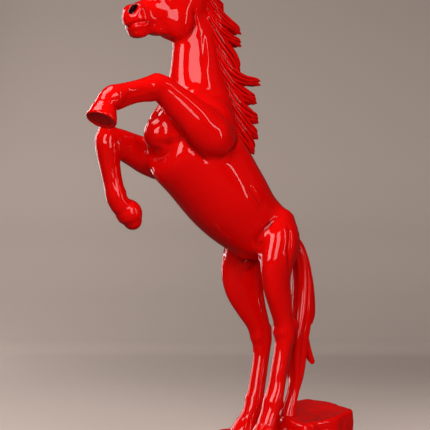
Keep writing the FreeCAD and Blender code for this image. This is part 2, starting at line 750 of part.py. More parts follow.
pad = tier("pad", SHELF_SHARES, 0, size("pad_thickness"), "pad_inset")
keep("anti_slip_pad", pad)
plate = tier("plate", SHELF_SHARES, size("pad_thickness"), plate_top, "plate_inset")
keep("base_plate", cut("base_plate", plate, *screw_bores))
rock_open = cut("rock_open", fused("rock_lumps", [shelf, ledge, rim, crag_lump]), rock_hollow)
rock_bossed = fused("rock_bossed", [rock_open] + bosses + screw_bosses)
keep("rock_base", cut("rock_base", rock_bossed, *screw_bores, *rod_bores.values()))

# Ballast block, between the tail rod's boss and the crag's rear wall
BALLAST_END_SHARE = 0.358
BALLAST_WIDTH_SHARE = 0.390
ballast_start = "(hip_setback + tail_setback + rod_boss_width / 2 + ballast_clearance)"
ballast_width = f"base_width * {BALLAST_WIDTH_SHARE}"
ballast_at = Vector(size(ballast_start), -size(f"{ballast_width} / 2"), plate_top)
keep("ballast_block", add("Part::Box", "ballast_block", ballast_at, Width=ballast_width,
                          Length=f"base_length * {BALLAST_END_SHARE} - {ballast_start}",
                          Height="ballast_height"))

# Crossbar at the hips, the rod up the spine and the dowels in the forelegs
crossbar_at = hip - SIDEWAYS * size("crossbar_length / 2")
keep("hip_crossbar", add("Part::Cylinder", "hip_crossbar", crossbar_at, facing(SIDEWAYS),
                         Radius="crossbar_width / 2", Height="crossbar_length"))
crossbar_bore = add("Part::Cylinder", "crossbar_bore", crossbar_at - SIDEWAYS * size("seat_gap"),
                    facing(SIDEWAYS), Radius="crossbar_width / 2 + seat_gap",
                    Height="crossbar_length + seat_gap * 2")
SPINE_TRUNK_ROW = 4
SPINE_NECK_ROW = 1
spine_points = [hip, trunk_places[SPINE_TRUNK_ROW][0], neck_places[SPINE_NECK_ROW][0], poll]
spine_path = bent_wire("spine_rod_path", spine_points, size("spine_rod_bend"))
spine_cope = add("Part::Cylinder", "spine_cope", crossbar_at, facing(SIDEWAYS),
                 Radius="crossbar_width / 2 + seat_gap", Height="crossbar_length")
keep("spine_rod", cut("spine_rod", rod("spine_bar", spine_path, "spine_rod_width"), spine_cope))
spine_bore = rod("spine_bore", spine_path, "spine_rod_width", " + seat_gap")
dowel_bores = {}
for word, places in (("left_fore", left_fore_places), ("right_fore", right_fore_places)):
    along = heading(places, FORE_JOINT_ROW)
    start = places[FORE_JOINT_ROW][0] - along * size("dowel_length / 2")
    keep(f"{word}leg_dowel", add("Part::Cylinder", f"{word}leg_dowel", start, facing(along),
                                 Radius="dowel_width / 2", Height="dowel_length"))
    dowel_bores[word] = add("Part::Cylinder", f"{word}leg_dowel_bore", start - along * size("seat_gap"),
                            facing(along), Radius="dowel_width / 2 + seat_gap",
                            Height="dowel_length + seat_gap * 2")

# The castings
body_mass = fused("body_mass", [trunk, neck_stub, left_thigh, right_thigh, left_arm, right_arm] + masses)
body_hollow = fused("body_hollow", [trunk_hollow, neck_hollow])
body = cut("body", body_mass, body_hollow, head_seat, crossbar_bore, spine_bore, *rod_bores.values(),
           *dowel_bores.values())
keep("body_left_shell", shared("body_left_shell", body, block("left_half", hip, -SIDEWAYS)))
keep("body_right_shell", shared("body_right_shell", body, block("right_half", hip, SIDEWAYS)))
keep("left_hind_leg", cut("left_hind_leg", left_shank, rod_bores["left_hind"]))
keep("right_hind_leg", cut("right_hind_leg", right_shank, rod_bores["right_hind"]))
keep("left_foreleg", cut("left_foreleg", left_fore_form, dowel_bores["left_fore"], trunk_seat, neck_seat,
                         *left_arm_seats))
keep("right_foreleg", cut("right_foreleg", right_fore_form, dowel_bores["right_fore"], trunk_seat, neck_seat,
                          *right_arm_seats))
keep("head", cut("head", fused("head_and_neck_top", [head_form, neck_top]), spine_bore, *nostrils))
body_seat = fused("body_seat", [trunk_seat, neck_seat, head_seat])
keep("mane", cut("mane", fused("mane_mass", mane_locks), body_seat))

# Ears and forelock
EAR_BASE_SHARES = (0.020, 0.000, 0.270)
EAR_SHARES = (
    (0.05, 0.95, -0.15, 0.95, 1.00),
    (0.00, 1.00, 0.20, 1.00, 1.00),
    (-0.08, 1.12, 0.60, 0.80, 0.80),
    (-0.20, 1.15, 0.85, 0.50, 0.50),
    (-0.28, 1.12, 1.00, 0.15, 0.15),
)
for side, word in ((LEFT, "left"), (RIGHT, "right")):
    ear_places = stations(EAR_SHARES, at_head(EAR_BASE_SHARES, side), "ear_length", "ear_length",
                          "ear_spread", "ear_depth", "ear_width", side)
    keep(f"{word}_ear", cut(f"{word}_ear", limb(f"{word}_ear_form", ear_places), head_seat))
FORELOCK_SHARES = ((-0.010, 0.400, 0.300, 0.370, 0.70), (0.030, 0.360, 0.440, 0.240, 0.56))
forelocks = []
for number, (front, up, tip_front, tip_up, thickness) in enumerate(FORELOCK_SHARES, 1):
    forelocks.append(lock(f"forelock{number}", at_head((front, 0, up), LEFT),
                          at_head((tip_front, 0, tip_up), LEFT), thickness))
keep("forelock", cut("forelock", fused("forelock_mass", forelocks), head_seat))

# Tail, its foot level with the crag's top and the lower lock parted from the upper one
keep("tail_main", cut("tail_main", tail_whole, block("tail_under", tail_foot, -crag_top), trunk_seat,
                      rod_bores["tail"]))
upper_places = tail_stations(UPPER_LOCK_SHARES)
keep("tail_upper_lock", cut("tail_upper_lock", limb("tail_upper", upper_places), tail_seat))
upper_seat = limb("tail_upper_seat", upper_places, grow=" + seat_gap")
lower_lock = limb("tail_lower", tail_stations(LOWER_LOCK_SHARES))
keep("tail_lower_lock", cut("tail_lower_lock", lower_lock, tail_seat, upper_seat))

doc.recompute()
failed = [item.Label for item in doc.Objects if {"Invalid", "Error"} & set(item.State)]
if failed:
    raise RuntimeError(f"not built: {failed}")
for item in nodes:
    if item.Shape.isNull() or not item.Shape.isValid() or not item.Shape.Solids:
        raise RuntimeError(f"no sound solid: {item.Label}")
os.makedirs("parts", exist_ok=True)
for item in nodes:
    item.Shape.exportStep(f"parts/{item.Label}.step")
    print(item.Label, len(item.Shape.Solids), round(item.Shape.Volume))
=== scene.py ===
import math

import bpy
import numpy as np
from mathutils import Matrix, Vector, kdtree
from mathutils.bvhtree import BVHTree


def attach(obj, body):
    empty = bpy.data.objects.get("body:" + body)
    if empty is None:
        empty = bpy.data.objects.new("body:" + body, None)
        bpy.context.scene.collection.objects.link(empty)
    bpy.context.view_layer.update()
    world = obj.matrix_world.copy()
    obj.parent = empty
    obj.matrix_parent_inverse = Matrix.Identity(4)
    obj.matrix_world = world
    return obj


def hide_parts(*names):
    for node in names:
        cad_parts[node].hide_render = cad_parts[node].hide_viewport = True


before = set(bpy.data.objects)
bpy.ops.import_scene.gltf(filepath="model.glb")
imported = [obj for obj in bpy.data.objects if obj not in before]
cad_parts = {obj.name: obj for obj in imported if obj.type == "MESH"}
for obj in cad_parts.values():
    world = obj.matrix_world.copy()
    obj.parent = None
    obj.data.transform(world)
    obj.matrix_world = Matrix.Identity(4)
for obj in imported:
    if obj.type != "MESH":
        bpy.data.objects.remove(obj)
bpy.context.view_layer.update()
scene = bpy.context.scene

# The room: a seamless paper sweep behind a pale floor, warm grey, as in a product photographer's studio.
# The statue stands on the floor at the origin and looks to -X.
MM = 0.001
CAMERA_AZIMUTH = math.radians(-40)
CAMERA_DISTANCE = 1.300
CAMERA_HEIGHT = 0.255
FRAME_WIDTH = 430 * MM
LOOK_AT = Vector((-0.0324, 0.0373, CAMERA_HEIGHT))
look = Vector((-math.sin(CAMERA_AZIMUTH), math.cos(CAMERA_AZIMUTH), 0))
across = Vector((look.y, -look.x, 0))


class Wire:
    """A shader socket that takes part in sums: each operator adds its Math node."""

    def __init__(self, paint, socket):
        self.paint = paint
        self.socket = socket

    def _maths(self, operation, other):
        return self.paint.node("ShaderNodeMath", {"operation": operation}, [self, other])

    def __add__(self, other):
        return self._maths("ADD", other)

    def __mul__(self, other):
        return self._maths("MULTIPLY", other)

    __radd__ = __add__
    __rmul__ = __mul__


class Paint:
    """A material made of nodes, with one Principled shader."""

    def __init__(self, name):
        self.material = bpy.data.materials.new(name)
        self.material.use_nodes = True
        self.tree = self.material.node_tree
        self.shader = self.tree.nodes["Principled BSDF"]

    def node(self, kind, settings, sockets, out=0):
        """Adds a node, sets its settings, then feeds its sockets with values or wires."""
        item = self.tree.nodes.new(kind)
        for key, value in settings.items():
            if key == "stops":
                ramp = item.color_ramp.elements
                while len(ramp) < len(value):
                    ramp.new(0.5)
                for stop, (place, colour) in zip(ramp, value):
                    stop.position = place
                    stop.color = colour
            else:
                setattr(item, key, value)
        pairs = sockets.items() if isinstance(sockets, dict) else enumerate(sockets)
        for key, value in pairs:
            if isinstance(value, Wire):
                self.tree.links.new(value.socket, item.inputs[key])
            elif value is not None:
                item.inputs[key].default_value = value
        return Wire(self, item.outputs[out])

    def place(self):
        """The point on the piece, in metres, in the object's own frame."""
        return self.node("ShaderNodeTexCoord", {}, [], out="Object")

    def noise(self, scale, detail=2.0, roughness=0.5):
        """Soft noise over the piece, its scale in waves to the metre."""
        return self.node("ShaderNodeTexNoise", {}, {
            "Vector": self.place(), "Scale": scale, "Detail": detail, "Roughness": roughness})

    def fade(self, value, low, high, start=0.0, end=1.0):
        """The value's range from low to high made into start to end."""
        return self.node("ShaderNodeMapRange", {}, [value, low, high, start, end])

    def blend(self, factor, first, second):
        """The first colour where the factor is 0, the second where it is 1. A Mix node's sockets for
        colours are numbers 6 and 7, and its colour comes out of number 2."""
        return self.node("ShaderNodeMix", {"data_type": "RGBA"}, {0: factor, 6: first, 7: second}, out=2)

    def set(self, **values):
        """Feeds the shader's sockets, whose names have _ for a space, with values or wires."""
        for key, value in values.items():
            socket = self.shader.inputs[key.replace("_", " ")]
            if isinstance(value, Wire):
                self.tree.links.new(value.socket, socket)
            else:
                socket.default_value = value

    def bump(self, height, distance, strength=1.0):
        """Tilts the shader's normals over a height whose unit stands for the distance in metres."""
        normal = self.node("ShaderNodeBump", {}, {
            "Strength": strength, "Distance": distance, "Height": height})
        self.tree.links.new(normal.socket, self.shader.inputs["Normal"])
        return self


def stage_piece(name, points, faces, paint):
    """A piece of the room, which isn't part of the statue."""
    mesh = bpy.data.meshes.new(name)
    mesh.from_pydata(points.tolist(), [], faces)
    mesh.polygons.foreach_set("use_smooth", np.ones(len(mesh.polygons), bool))
    mesh.materials.append(paint.material)
    piece = bpy.data.objects.new(name, mesh)
    scene.collection.objects.link(piece)


def sweep():
    """The paper's profile carried sideways: flat on the floor, a quarter circle, then straight up.
    The profile turns with the camera, so that its wall faces it."""
    front_edge = -3.2
    flat_end = 0.9
    wall = 1.25
    bend = 0.22
    wall_heights = (1.2, 3.0)
    half_width = 3.5
    arc = np.radians(np.linspace(0, 90, 16))
    floor = np.linspace(front_edge, flat_end, 6)
    away = np.concatenate([floor, wall - bend + bend * np.sin(arc), [wall, wall]])
    rise = np.concatenate([0 * floor, bend - bend * np.cos(arc), wall_heights])
    side = np.linspace(-half_width, half_width, 15)
    grid_away, grid_side = np.meshgrid(away, side, indexing="ij")
    grid_rise = np.repeat(rise[:, None], len(side), axis=1)
    forward = np.array(look)
    right = np.array(across)
    points = grid_away[..., None] * forward + grid_side[..., None] * right
    points[..., 2] += grid_rise
    rows, columns = grid_away.shape
    faces = [(r * columns + c, r * columns + c + 1, (r + 1) * columns + c + 1, (r + 1) * columns + c)
             for r in range(rows - 1) for c in range(columns - 1)]
    return points.reshape(-1, 3), faces


# The paper is pale to the lens. In the statue's gloss and as a source of light it is a darker grey, as where
# black cloth hangs beside a studio's lens. Tones of the floor go by metres behind the statue, and those of
# the wall by shares of the height that the lens sees. These tones are painted light and shade: the fall of
# the lamps' light across paper that is one even grey.
FLOOR_LIGHT_FALLOFF = ((0.26, 0.60), (0.39, 0.565), (0.54, 0.515), (0.70, 0.480), (0.82, 0.478), (0.93, 0.505),
               (1.03, 0.530))
FLOOR_TINT = (0.80, 0.70)
WALL_LIGHT_FALLOFF = ((0.0, 0.510), (0.025, 0.462), (0.06, 0.440), (0.12, 0.436), (0.235, 0.495), (0.33, 0.522),
              (0.43, 0.518), (0.62, 0.470), (0.82, 0.414))
WALL_TINT = (0.80, 0.695)
WALL_HEIGHT = 0.8
WALL_FOOT = 0.02
CLOTH_TONE = (0.04, 0.034, 0.032, 1)


def toned(place, tones, tint):
    """The paper's colour at a place, with its painted light and shade, through stops whose green and blue are
    shares of their red.
    """
    green, blue = tint
    stops = [(at, (level, green * level, blue * level, 1)) for at, level in tones]
    return paper.node("ShaderNodeValToRGB", {"stops": stops}, [place])


paper = Paint("paper_sweep")
to_lens = paper.node("ShaderNodeLightPath", {}, [], out="Is Camera Ray")
height = paper.node("ShaderNodeSeparateXYZ", {}, [paper.place()], out="Z")
distance = paper.node("ShaderNodeVectorMath", {"operation": "DOT_PRODUCT"}, [paper.place(), tuple(look)],
                      out="Value")
# Painted light and shade on the paper: lighter and darker bands where the lamps' light falls off
floor_painted_light = toned(distance, FLOOR_LIGHT_FALLOFF, FLOOR_TINT)
wall_painted_light = toned(paper.fade(height, 0.0, WALL_HEIGHT), WALL_LIGHT_FALLOFF, WALL_TINT)
pale = paper.blend(paper.fade(height, 0.0, WALL_FOOT), floor_painted_light, wall_painted_light)
paper.set(Base_Color=paper.blend(to_lens, CLOTH_TONE, pale), Roughness=0.95, Specular_IOR_Level=0.1)
stage_piece("paper_sweep", *sweep(), paper)

# The lens and the lamps: a long lens stands level with the middle of the statue, and the lamps are
# behind white cloths on stands round it, the largest beside the lens and one overhead.
camera_data = bpy.data.cameras.new("camera")
camera_data.angle = 2 * math.atan(FRAME_WIDTH / 2 / CAMERA_DISTANCE)
camera = bpy.data.objects.new("camera", camera_data)
camera.location = LOOK_AT - look * CAMERA_DISTANCE
camera.rotation_euler = look.to_track_quat("-Z", "Y").to_euler()
scene.collection.objects.link(camera)
scene.camera = camera

scene.view_settings.view_transform = "Standard"
world = bpy.data.worlds.new("studio")
world.use_nodes = True
room_light = world.node_tree.nodes["Background"].inputs
room_light["Color"].default_value = (0.70, 0.66, 0.64, 1)
room_light["Strength"].default_value = 0.05
scene.world = world
LAMP_AIM = Vector((0, 0, 0.27))


def softbox(name, right, back, height, width, tall, watts):
    """A lamp behind a white cloth, placed to the right of the lens and behind the statue, looking at it."""
    data = bpy.data.lights.new(name, "AREA")
    data.shape = "RECTANGLE"
    data.size = width
    data.size_y = tall
    data.energy = watts
    lamp = bpy.data.objects.new(name, data)
    lamp.location = across * right + look * back + Vector((0, 0, height))
    lamp.rotation_euler = (LAMP_AIM - lamp.location).to_track_quat("-Z", "Y").to_euler()
    scene.collection.objects.link(lamp)


# Each lamp's place to the right, back and up, its cloth's width and height, and its watts
for name, place, cloth, watts in (
        ("key_softbox", (-0.38, -1.62, 0.90), (0.95, 1.30), 24),
        ("side_softbox", (0.98, -1.22, 0.70), (0.55, 1.20), 9),
        ("strip_softbox", (1.45, -0.40, 0.62), (0.09, 1.20), 1.7),
        ("left_strip_softbox", (-1.10, 0.48, 0.55), (0.14, 1.00), 3),
        ("left_rim_softbox", (-0.85, 1.00, 0.45), (0.30, 1.20), 6),
        ("top_softbox", (-0.45, -0.15, 1.70), (1.00, 0.70), 12)):
    softbox(name, *place, *cloth, watts)

# The horse itself: jointed resin castings under one coat of enamel. The skin is modelled as a sculptor
# does it, with the big forms first, then the muscles, and the creases cut last.
# Rows hold x, y, z, half depth and half width in mm.
TRUNK = [(34, 0, 223, 8, 9), (24, 0, 229, 20, 24), (6, 0, 236, 29, 31), (-21, 0, 250, 36.5, 31.5),
         (-49, 0, 274, 43, 36), (-81, 0, 306.5, 46, 35.5), (-110, 0, 323, 41, 31), (-124, 0, 330, 28, 24),
         (-133, 0, 331, 15, 13.5)]
NECK = [(-78, 0, 318, 36, 27), (-81, 0, 337, 38, 28), (-82, 0, 355, 35, 25), (-85.5, 0, 374, 32.5, 20.5),
        (-87, 0, 397, 28.5, 16.5), (-89, 0, 427, 22.5, 14), (-91, 0, 451, 18, 12), (-88, 0, 466, 14, 10)]
SKULL = [(-80, 0, 470, 9, 7), (-87, 0, 465, 18, 12), (-97, 0, 459, 26, 16.5), (-110, 0, 452, 27.5, 17.5),
         (-125, 0, 446, 23.5, 15.5), (-138, 0, 440.5, 18.5, 12.5), (-149, 0, 436.5, 16, 11.8),
         (-157.5, 0, 434.5, 15, 12), (-163.5, 0, 434.5, 11, 9)]
NEAR_HIND = [(5.7, -20, 250, 19, 12), (3, -22, 238, 25, 16), (-2, -25, 224, 26, 16.5), (-7, -26, 208, 24, 14),
             (-6.5, -25.5, 190, 21, 11.5), (-1, -24, 171, 16.5, 10.3), (5, -22.5, 153, 12.4, 9.4),
             (8.5, -22, 139, 11.6, 9.6), (6, -21.7, 128, 9.6, 8.6), (3, -21.3, 115, 8.6, 8.0),
             (-0.5, -21, 100, 8.0, 8.0), (-3, -20.5, 84, 8.4, 8.8), (-7, -20, 72, 9.8, 9.8),
             (-11, -20, 61, 8.4, 9.0), (-15, -20, 52, 8.8, 9.4)]
FAR_HIND = [(12, 20, 250, 19, 12), (10, 22, 237, 25, 16), (3, 25, 220, 26.5, 16.5), (-4, 26, 202, 24, 14),
            (-4, 25.5, 183, 21, 11.5), (3, 24, 164, 16.5, 10.5), (11.5, 22.5, 146, 12.2, 9.8),
            (16.5, 22, 130, 11.0, 9.6), (15.8, 21.6, 119, 8.8, 8.2), (13.5, 21.2, 106, 7.8, 7.6),
            (9.5, 20.7, 90, 7.8, 8.0), (6.5, 20.3, 77, 8.2, 8.6), (4, 20, 69, 9.2, 9.2),
            (0, 20, 60, 7.8, 8.4), (-4, 20, 51, 8.4, 9.0)]
NEAR_FOREARM = [(-84, -30, 322, 17, 15), (-94, -32, 328, 20, 17), (-104, -32.5, 334.5, 20.5, 16.5),
                (-116, -33, 343, 19, 15.5), (-129, -32, 353, 16.5, 14), (-141, -31, 362, 14, 12.5),
                (-151, -30, 369, 12.5, 12), (-157, -30, 372, 11, 11)]
NEAR_CANNON = [(-148, -30, 370, 11, 11), (-156, -30, 370.5, 11.5, 11.5), (-165, -30, 369.5, 10.2, 10.6),
               (-176, -30, 367.3, 8.6, 8.8), (-188, -30, 364.5, 8.4, 8.4), (-197, -30, 361.8, 9.2, 9.0),
               (-204.5, -30, 359, 10.6, 10.2), (-210.5, -30, 355.5, 9.8, 9.4), (-214, -30.3, 351.5, 9.6, 9.6)]
NEAR_HOOF = [(-213.5, -30.3, 352, 9.8, 9.8), (-215.5, -30.8, 348, 11.2, 11.2), (-218.5, -32, 340, 14.0, 13.2),
             (-220.2, -32.6, 336.6, 14.8, 13.8)]
FAR_FOREARM = [(-104, 34, 305, 17, 16), (-119.9, 34, 310.5, 17, 16), (-132.5, 33, 315, 16, 14.5),
               (-145, 32, 319, 14.7, 13.3), (-157.3, 31, 323, 13.5, 12), (-166, 30, 326, 11.5, 11)]
FAR_CANNON = [(-169, 30, 333, 8.5, 9), (-169.6, 30, 325, 11.2, 11), (-169.2, 30, 315, 10.8, 10.8),
              (-168.2, 30, 305, 9.2, 9.2), (-166, 30, 294, 8.4, 8.2), (-163.4, 30, 284, 8.4, 8.2),
              (-160, 30, 274, 9.6, 9.4), (-156.5, 30, 267, 9.4, 9.2), (-153.5, 30, 262, 9.0, 9.2)]
FAR_HOOF = [(-153.5, 30, 264, 9.2, 9.4), (-149.5, 30, 261, 11.4, 11.0), (-144.5, 30, 257, 13.0, 12.2),
            (-141.5, 30, 252.5, 11.8, 11.4), (-140, 30, 249.5, 9.2, 9.2)]


def spread(rows, span):
    """Rows of numbers carried smoothly on: between two rows the curve is a cubic that passes through
    both, with a slope there of half the step between the rows' neighbours."""
    rows = np.array(rows, float)
    ends = np.vstack([2 * rows[0] - rows[1], rows, 2 * rows[-1] - rows[-2]])
    t = np.linspace(0, 1, span, endpoint=False)[:, None]
    spans = [0.5 * (2 * b + (c - a) * t + (2 * a - 5 * b + 4 * c - d) * t ** 2
                    + (3 * b - a - 3 * c + d) * t ** 3)
             for a, b, c, d in zip(ends, ends[1:], ends[2:], ends[3:])]
    return np.vstack(spans + [rows[-1:]])


def unit(vectors):
    """Each vector over its own length."""
    return vectors / np.linalg.norm(vectors, axis=-1, keepdims=True)


def closed(grid):
    """A closed shell over a grid of rings, with a fan of triangles to the middle of each end ring."""
    rings, around, _ = grid.shape
    points = np.vstack([grid.reshape(-1, 3), grid[0].mean(axis=0), grid[-1].mean(axis=0)])
    ring, step = np.meshgrid(np.arange(rings - 1) * around, np.arange(around), indexing="ij")
    after = (step + 1) % around
    quads = np.stack([ring + step, ring + after, ring + around + after, ring + around + step], axis=-1)
    step = np.arange(around)
    after = (step + 1) % around
    last = (rings - 1) * around
    pole = np.full(around, rings * around)
    start = np.stack([pole, after, step], axis=-1)
    end = np.stack([pole + 1, last + step, last + after], axis=-1)
    return points, quads.reshape(-1, 4).tolist() + start.tolist() + end.tolist()


def limb(rows, turn=0.0, around=36, span=6, flat_end=False, flutes=0, flute_depth=0.0, twist=0.0):
    """A form round a path. At each step the ring is
    centre + front * depth * cos(a) + side * width * sin(a),
    where side is level and front is square to it and to the path. Round ends follow a quarter circle.
    Flutes narrow the ring by a share of its size, as the cube of a rectified cosine of the angle, and
    die out at the tip."""
    table = spread(rows, span)
    centre = table[:, :3]
    along = unit(np.gradient(centre, axis=0))
    outward = np.array([-math.sin(math.radians(turn)), math.cos(math.radians(turn)), 0])
    front = unit(np.cross(outward, along))
    side = np.cross(along, front)
    deep = table[:, 3]
    wide = table[:, 4]
    rounding = np.radians([80.0, 55.0, 28.0])
    flute_end = 2.6
    fade = np.cos(rounding)
    reach = np.sin(rounding)
    first = min(deep[0], wide[0]) * reach[:, None]
    last = min(deep[-1], wide[-1]) * reach[::-1, None]
    parts = [[centre[0] - along[0] * first, centre], [deep[0] * fade, deep], [wide[0] * fade, wide],
             [np.repeat(front[:1], 3, axis=0), front], [np.repeat(side[:1], 3, axis=0), side]]
    if not flat_end:
        parts[0].append(centre[-1] + along[-1] * last)
        parts[1].append(deep[-1] * fade[::-1])
        parts[2].append(wide[-1] * fade[::-1])
        parts[3].append(np.repeat(front[-1:], 3, axis=0))
        parts[4].append(np.repeat(side[-1:], 3, axis=0))
    centre, deep, wide, front, side = [np.concatenate(part) for part in parts]
    angle = np.linspace(0, 2 * np.pi, around, endpoint=False)[None, :]
    spin = np.linspace(0, twist, len(deep))[:, None]
    calm = np.clip(flute_end * np.linspace(1, 0, len(deep)), 0, 1)[:, None]
    narrow = 1 - flute_depth * calm * np.abs(np.cos(flutes * (angle + spin) / 2)) ** 3 if flutes else 1.0
    grid = (centre[:, None] + front[:, None] * (deep[:, None] * np.cos(angle) * narrow)[..., None]
            + side[:, None] * (wide[:, None] * np.sin(angle) * narrow)[..., None])
    return closed(grid)


def turned(grid, first, second, degrees):
    """A grid of places turned from one of its axes towards another."""
    cos, sin = math.cos(math.radians(degrees)), math.sin(math.radians(degrees))
    result = grid.copy()
    result[..., first] = grid[..., first] * cos - grid[..., second] * sin
    result[..., second] = grid[..., first] * sin + grid[..., second] * cos
    return result


def lump(at, sizes, pitch=0.0, yaw=0.0):
    """An ellipsoid: a ball's rings, stretched along x, y and z, pitched about y and then turned about z."""
    rise = np.radians(np.linspace(-88, 88, 15))[:, None]
    angle = np.linspace(0, 2 * np.pi, 24, endpoint=False)[None, :]
    ball = np.stack([np.cos(rise) * np.cos(angle), np.cos(rise) * np.sin(angle), np.sin(rise) + 0 * angle],
                    axis=-1) * np.array(sizes, float)
    return closed(turned(turned(ball, 2, 0, pitch), 0, 1, yaw) + np.array(at, float))


def mirrored(form):
    """The same form on the other side of the middle plane, its faces turned back outward."""
    points, faces = form
    return points * [1, -1, 1], [face[::-1] for face in faces]


forms = []


def model(node, form, beyond=None):
    """Presses a form onto the horse. What lies past a joint's plane belongs to the piece beyond it."""
    points, _ = form
    names = np.full(len(points), node, dtype=object)
    if beyond:
        other, place, direction = beyond
        names[(points - np.array(place)) @ np.array(direction) > 0] = other
    forms.append((names, form))


NECK_JOINT = ("head", (-89, 0, 427), (0, 0, 1))
NEAR_KNEE_JOINT = ("left_foreleg", (-114, -33, 341.5), (-0.81, 0, 0.59))
FAR_KNEE_JOINT = ("right_foreleg", (-132.5, 33, 315), (-0.95, 0, 0.32))
NEAR_THIGH_JOINT = ("left_hind_leg", (-6.5, -25.5, 190), (0.16, 0.05, -0.99))
FAR_THIGH_JOINT = ("right_hind_leg", (-4, 25.5, 183), (0.18, -0.05, -0.98))
model("body", limb(TRUNK, around=56))
model("body", limb(NECK, around=44), NECK_JOINT)
model("head", limb(SKULL, around=40))
# Cheeks, muzzle, lips, nostrils, brows and jaw, each with its place, half sizes, pitch and yaw
for at, sizes, pitch, yaw in (
        ((-113, -5.5, 442), (23, 12, 23), 0, 0), ((-157, -3.5, 434.5), (12.5, 9.3, 14.5), 0, 0),
        ((-162.5, -3.2, 438), (8.8, 7.6, 10), 0, 0), ((-155, -2.5, 423.5), (10, 7, 6.5), -8, 0),
        ((-160.5, -7.6, 441), (7.5, 4.6, 7), -30, -22), ((-126, -11.5, 462.5), (9.5, 5, 5.5), 20, 0),
        ((-127, -12.6, 459.5), (5.6, 3.6, 4.8), 20, 0), ((-131, -10, 449), (17, 5.0, 4.0), 32, -8),
        ((-99, -6, 430), (13, 7.5, 14), 0, 0), ((-138, -5, 430), (18, 6, 8), 12, 0)):
    near = lump(at, sizes, pitch, yaw)
    model("head", near)
    model("head", mirrored(near))
# Shoulders, then the breast, croup and thigh on either side. Each fold of the breast lies so far out from
# the middle and back, and the fold's rows hold x, a step inward, z, half depth and half width.
model("body", lump((-88, -20, 338), (30, 15, 29), 20))
model("body", lump((-95, 20, 331), (29, 15, 28), 20))
BREAST_FOLDS = ((7, 0), (17, 7))
FOLD = ((-106, 1, 368, 7, 6), (-119, 0, 354, 8.6, 6.6), (-128.5, 0, 340, 9.4, 7.2),
        (-131.5, 0, 327, 8.6, 7))
for hand in (-1, 1):
    model("body", lump((-112, hand * 9, 338), (14, 14, 28), 42))
    model("body", lump((-108, hand * 12, 317), (18, 15, 13), 10))
    for out, back in BREAST_FOLDS:
        fold = [(x + back, hand * (out - inward), z, deep, wide) for x, inward, z, deep, wide in FOLD]
        model("body", limb(fold))
    model("body", lump((0, hand * 16, 241), (21, 14, 21), 25))
    model("body", lump((-13, hand * 24, 222), (15, 10, 21), 15))
# Elbows and groin
model("body", lump((-93, -33, 317.5), (9.5, 9.5, 9), 0))
model("body", lump((-103, 34, 298), (9, 9, 8.5), 0))
model("body", lump((-31, 0, 224), (18, 9, 10), 35))
model("body", limb(NEAR_HIND, turn=20, around=40), NEAR_THIGH_JOINT)
model("body", limb(FAR_HIND, turn=-20, around=40), FAR_THIGH_JOINT)
model("body", limb(NEAR_FOREARM), NEAR_KNEE_JOINT)
model("body", limb(FAR_FOREARM), FAR_KNEE_JOINT)
model("left_foreleg", limb(NEAR_CANNON))
model("right_foreleg", limb(FAR_CANNON))
model("left_foreleg", limb(NEAR_HOOF, flat_end=True))
model("right_foreleg", limb(FAR_HOOF))
NEAR_REAR_HOOF = [(-14, -20, 53, 8.6, 9.6), (-18, -20, 44, 11.5, 11.6), (-22, -20, 36, 13.4, 12.9),
                  (-24.5, -20, 28.2, 15.0, 14.0)]
FAR_REAR_HOOF = [(-4, 20, 53, 8.2, 9.2), (-7.5, 20, 45, 10.8, 11.0), (-10.5, 20, 39, 12.2, 12.0),
                 (-12.5, 20, 33.2, 13.6, 13.2)]
model("left_hind_leg", limb(NEAR_REAR_HOOF, turn=20, flat_end=True))
model("right_hind_leg", limb(FAR_REAR_HOOF, turn=-20, flat_end=True))
# Knees, hocks, fetlocks and their bones, each with its place, its half sizes and its pitch
BONES = {
    "left_foreleg": (((-160, -30, 371), (8, 9.5, 9.5), 0), ((-152, -30, 366), (9, 10, 8), 0),
                     ((-205, -30, 353.5), (6.5, 7, 6), 30), ((-209, -30, 362), (5, 7, 5), 30)),
    "right_foreleg": (((-171, 30, 324), (9, 10, 11), 0), ((-163, 30, 317), (8, 9, 9), 0),
                      ((-154.5, 30, 276), (6, 7, 6), 0), ((-162, 30, 268.5), (5, 7, 5.5), 0)),
    "left_hind_leg": (((17.5, -22, 146), (6.5, 6.5, 8), 20), ((2, -22, 141), (7, 9.5, 10), 0),
                      ((-0.5, -20, 69), (6, 7.5, 7), 0), ((-11, -20, 74), (6, 8, 6), 0)),
    "right_hind_leg": (((22.5, 22, 138), (6, 6.5, 8), 20), ((10.5, 22, 133), (6.5, 9, 10), 0),
                       ((10.5, 20, 66), (5.5, 7.5, 6.5), 0), ((0, 20, 71), (5.5, 7.5, 6), 0))}
for node, bones in BONES.items():
    for at, sizes, pitch in bones:
        model(node, lump(at, sizes, pitch))
# Tendons behind the cannon bones
TENDONS = {
    "left_foreleg": [(-160, -30, 360, 3.5, 4.5), (-180, -30, 357.5, 3.6, 4), (-202, -30, 350.5, 4.4, 4.6)],
    "right_foreleg": [(-159.5, 30, 310, 3.6, 4.4), (-157, 30, 292, 3.6, 4), (-153.5, 30, 276, 4.2, 4.6)],
    "left_hind_leg": [(16, -22, 133, 4, 4.4), (9, -21, 105, 3.6, 4), (1, -20, 74, 4.6, 4.8)],
    "right_hind_leg": [(24.5, 22, 125, 4, 4.4), (19.5, 21, 100, 3.6, 4), (12, 20, 71, 4.4, 4.8)]}
for node, rows in TENDONS.items():
    model(node, limb(rows, around=20))


def gathered(shells):
    """Several shells as one list of points and one of faces."""
    points = np.vstack([shell[0] for shell in shells])
    starts = np.cumsum([0] + [len(shell[0]) for shell in shells])
    faces = [[corner + start for corner in face]
             for (_, shell), start in zip(shells, starts) for face in shell]
    return points, faces


def bare_object(name, points, faces):
    """A mesh on its own, with no material yet."""
    mesh = bpy.data.meshes.new(name)
    mesh.from_pydata(points.tolist(), [], faces)
    item = bpy.data.objects.new(name, mesh)
    scene.collection.objects.link(item)
    return item


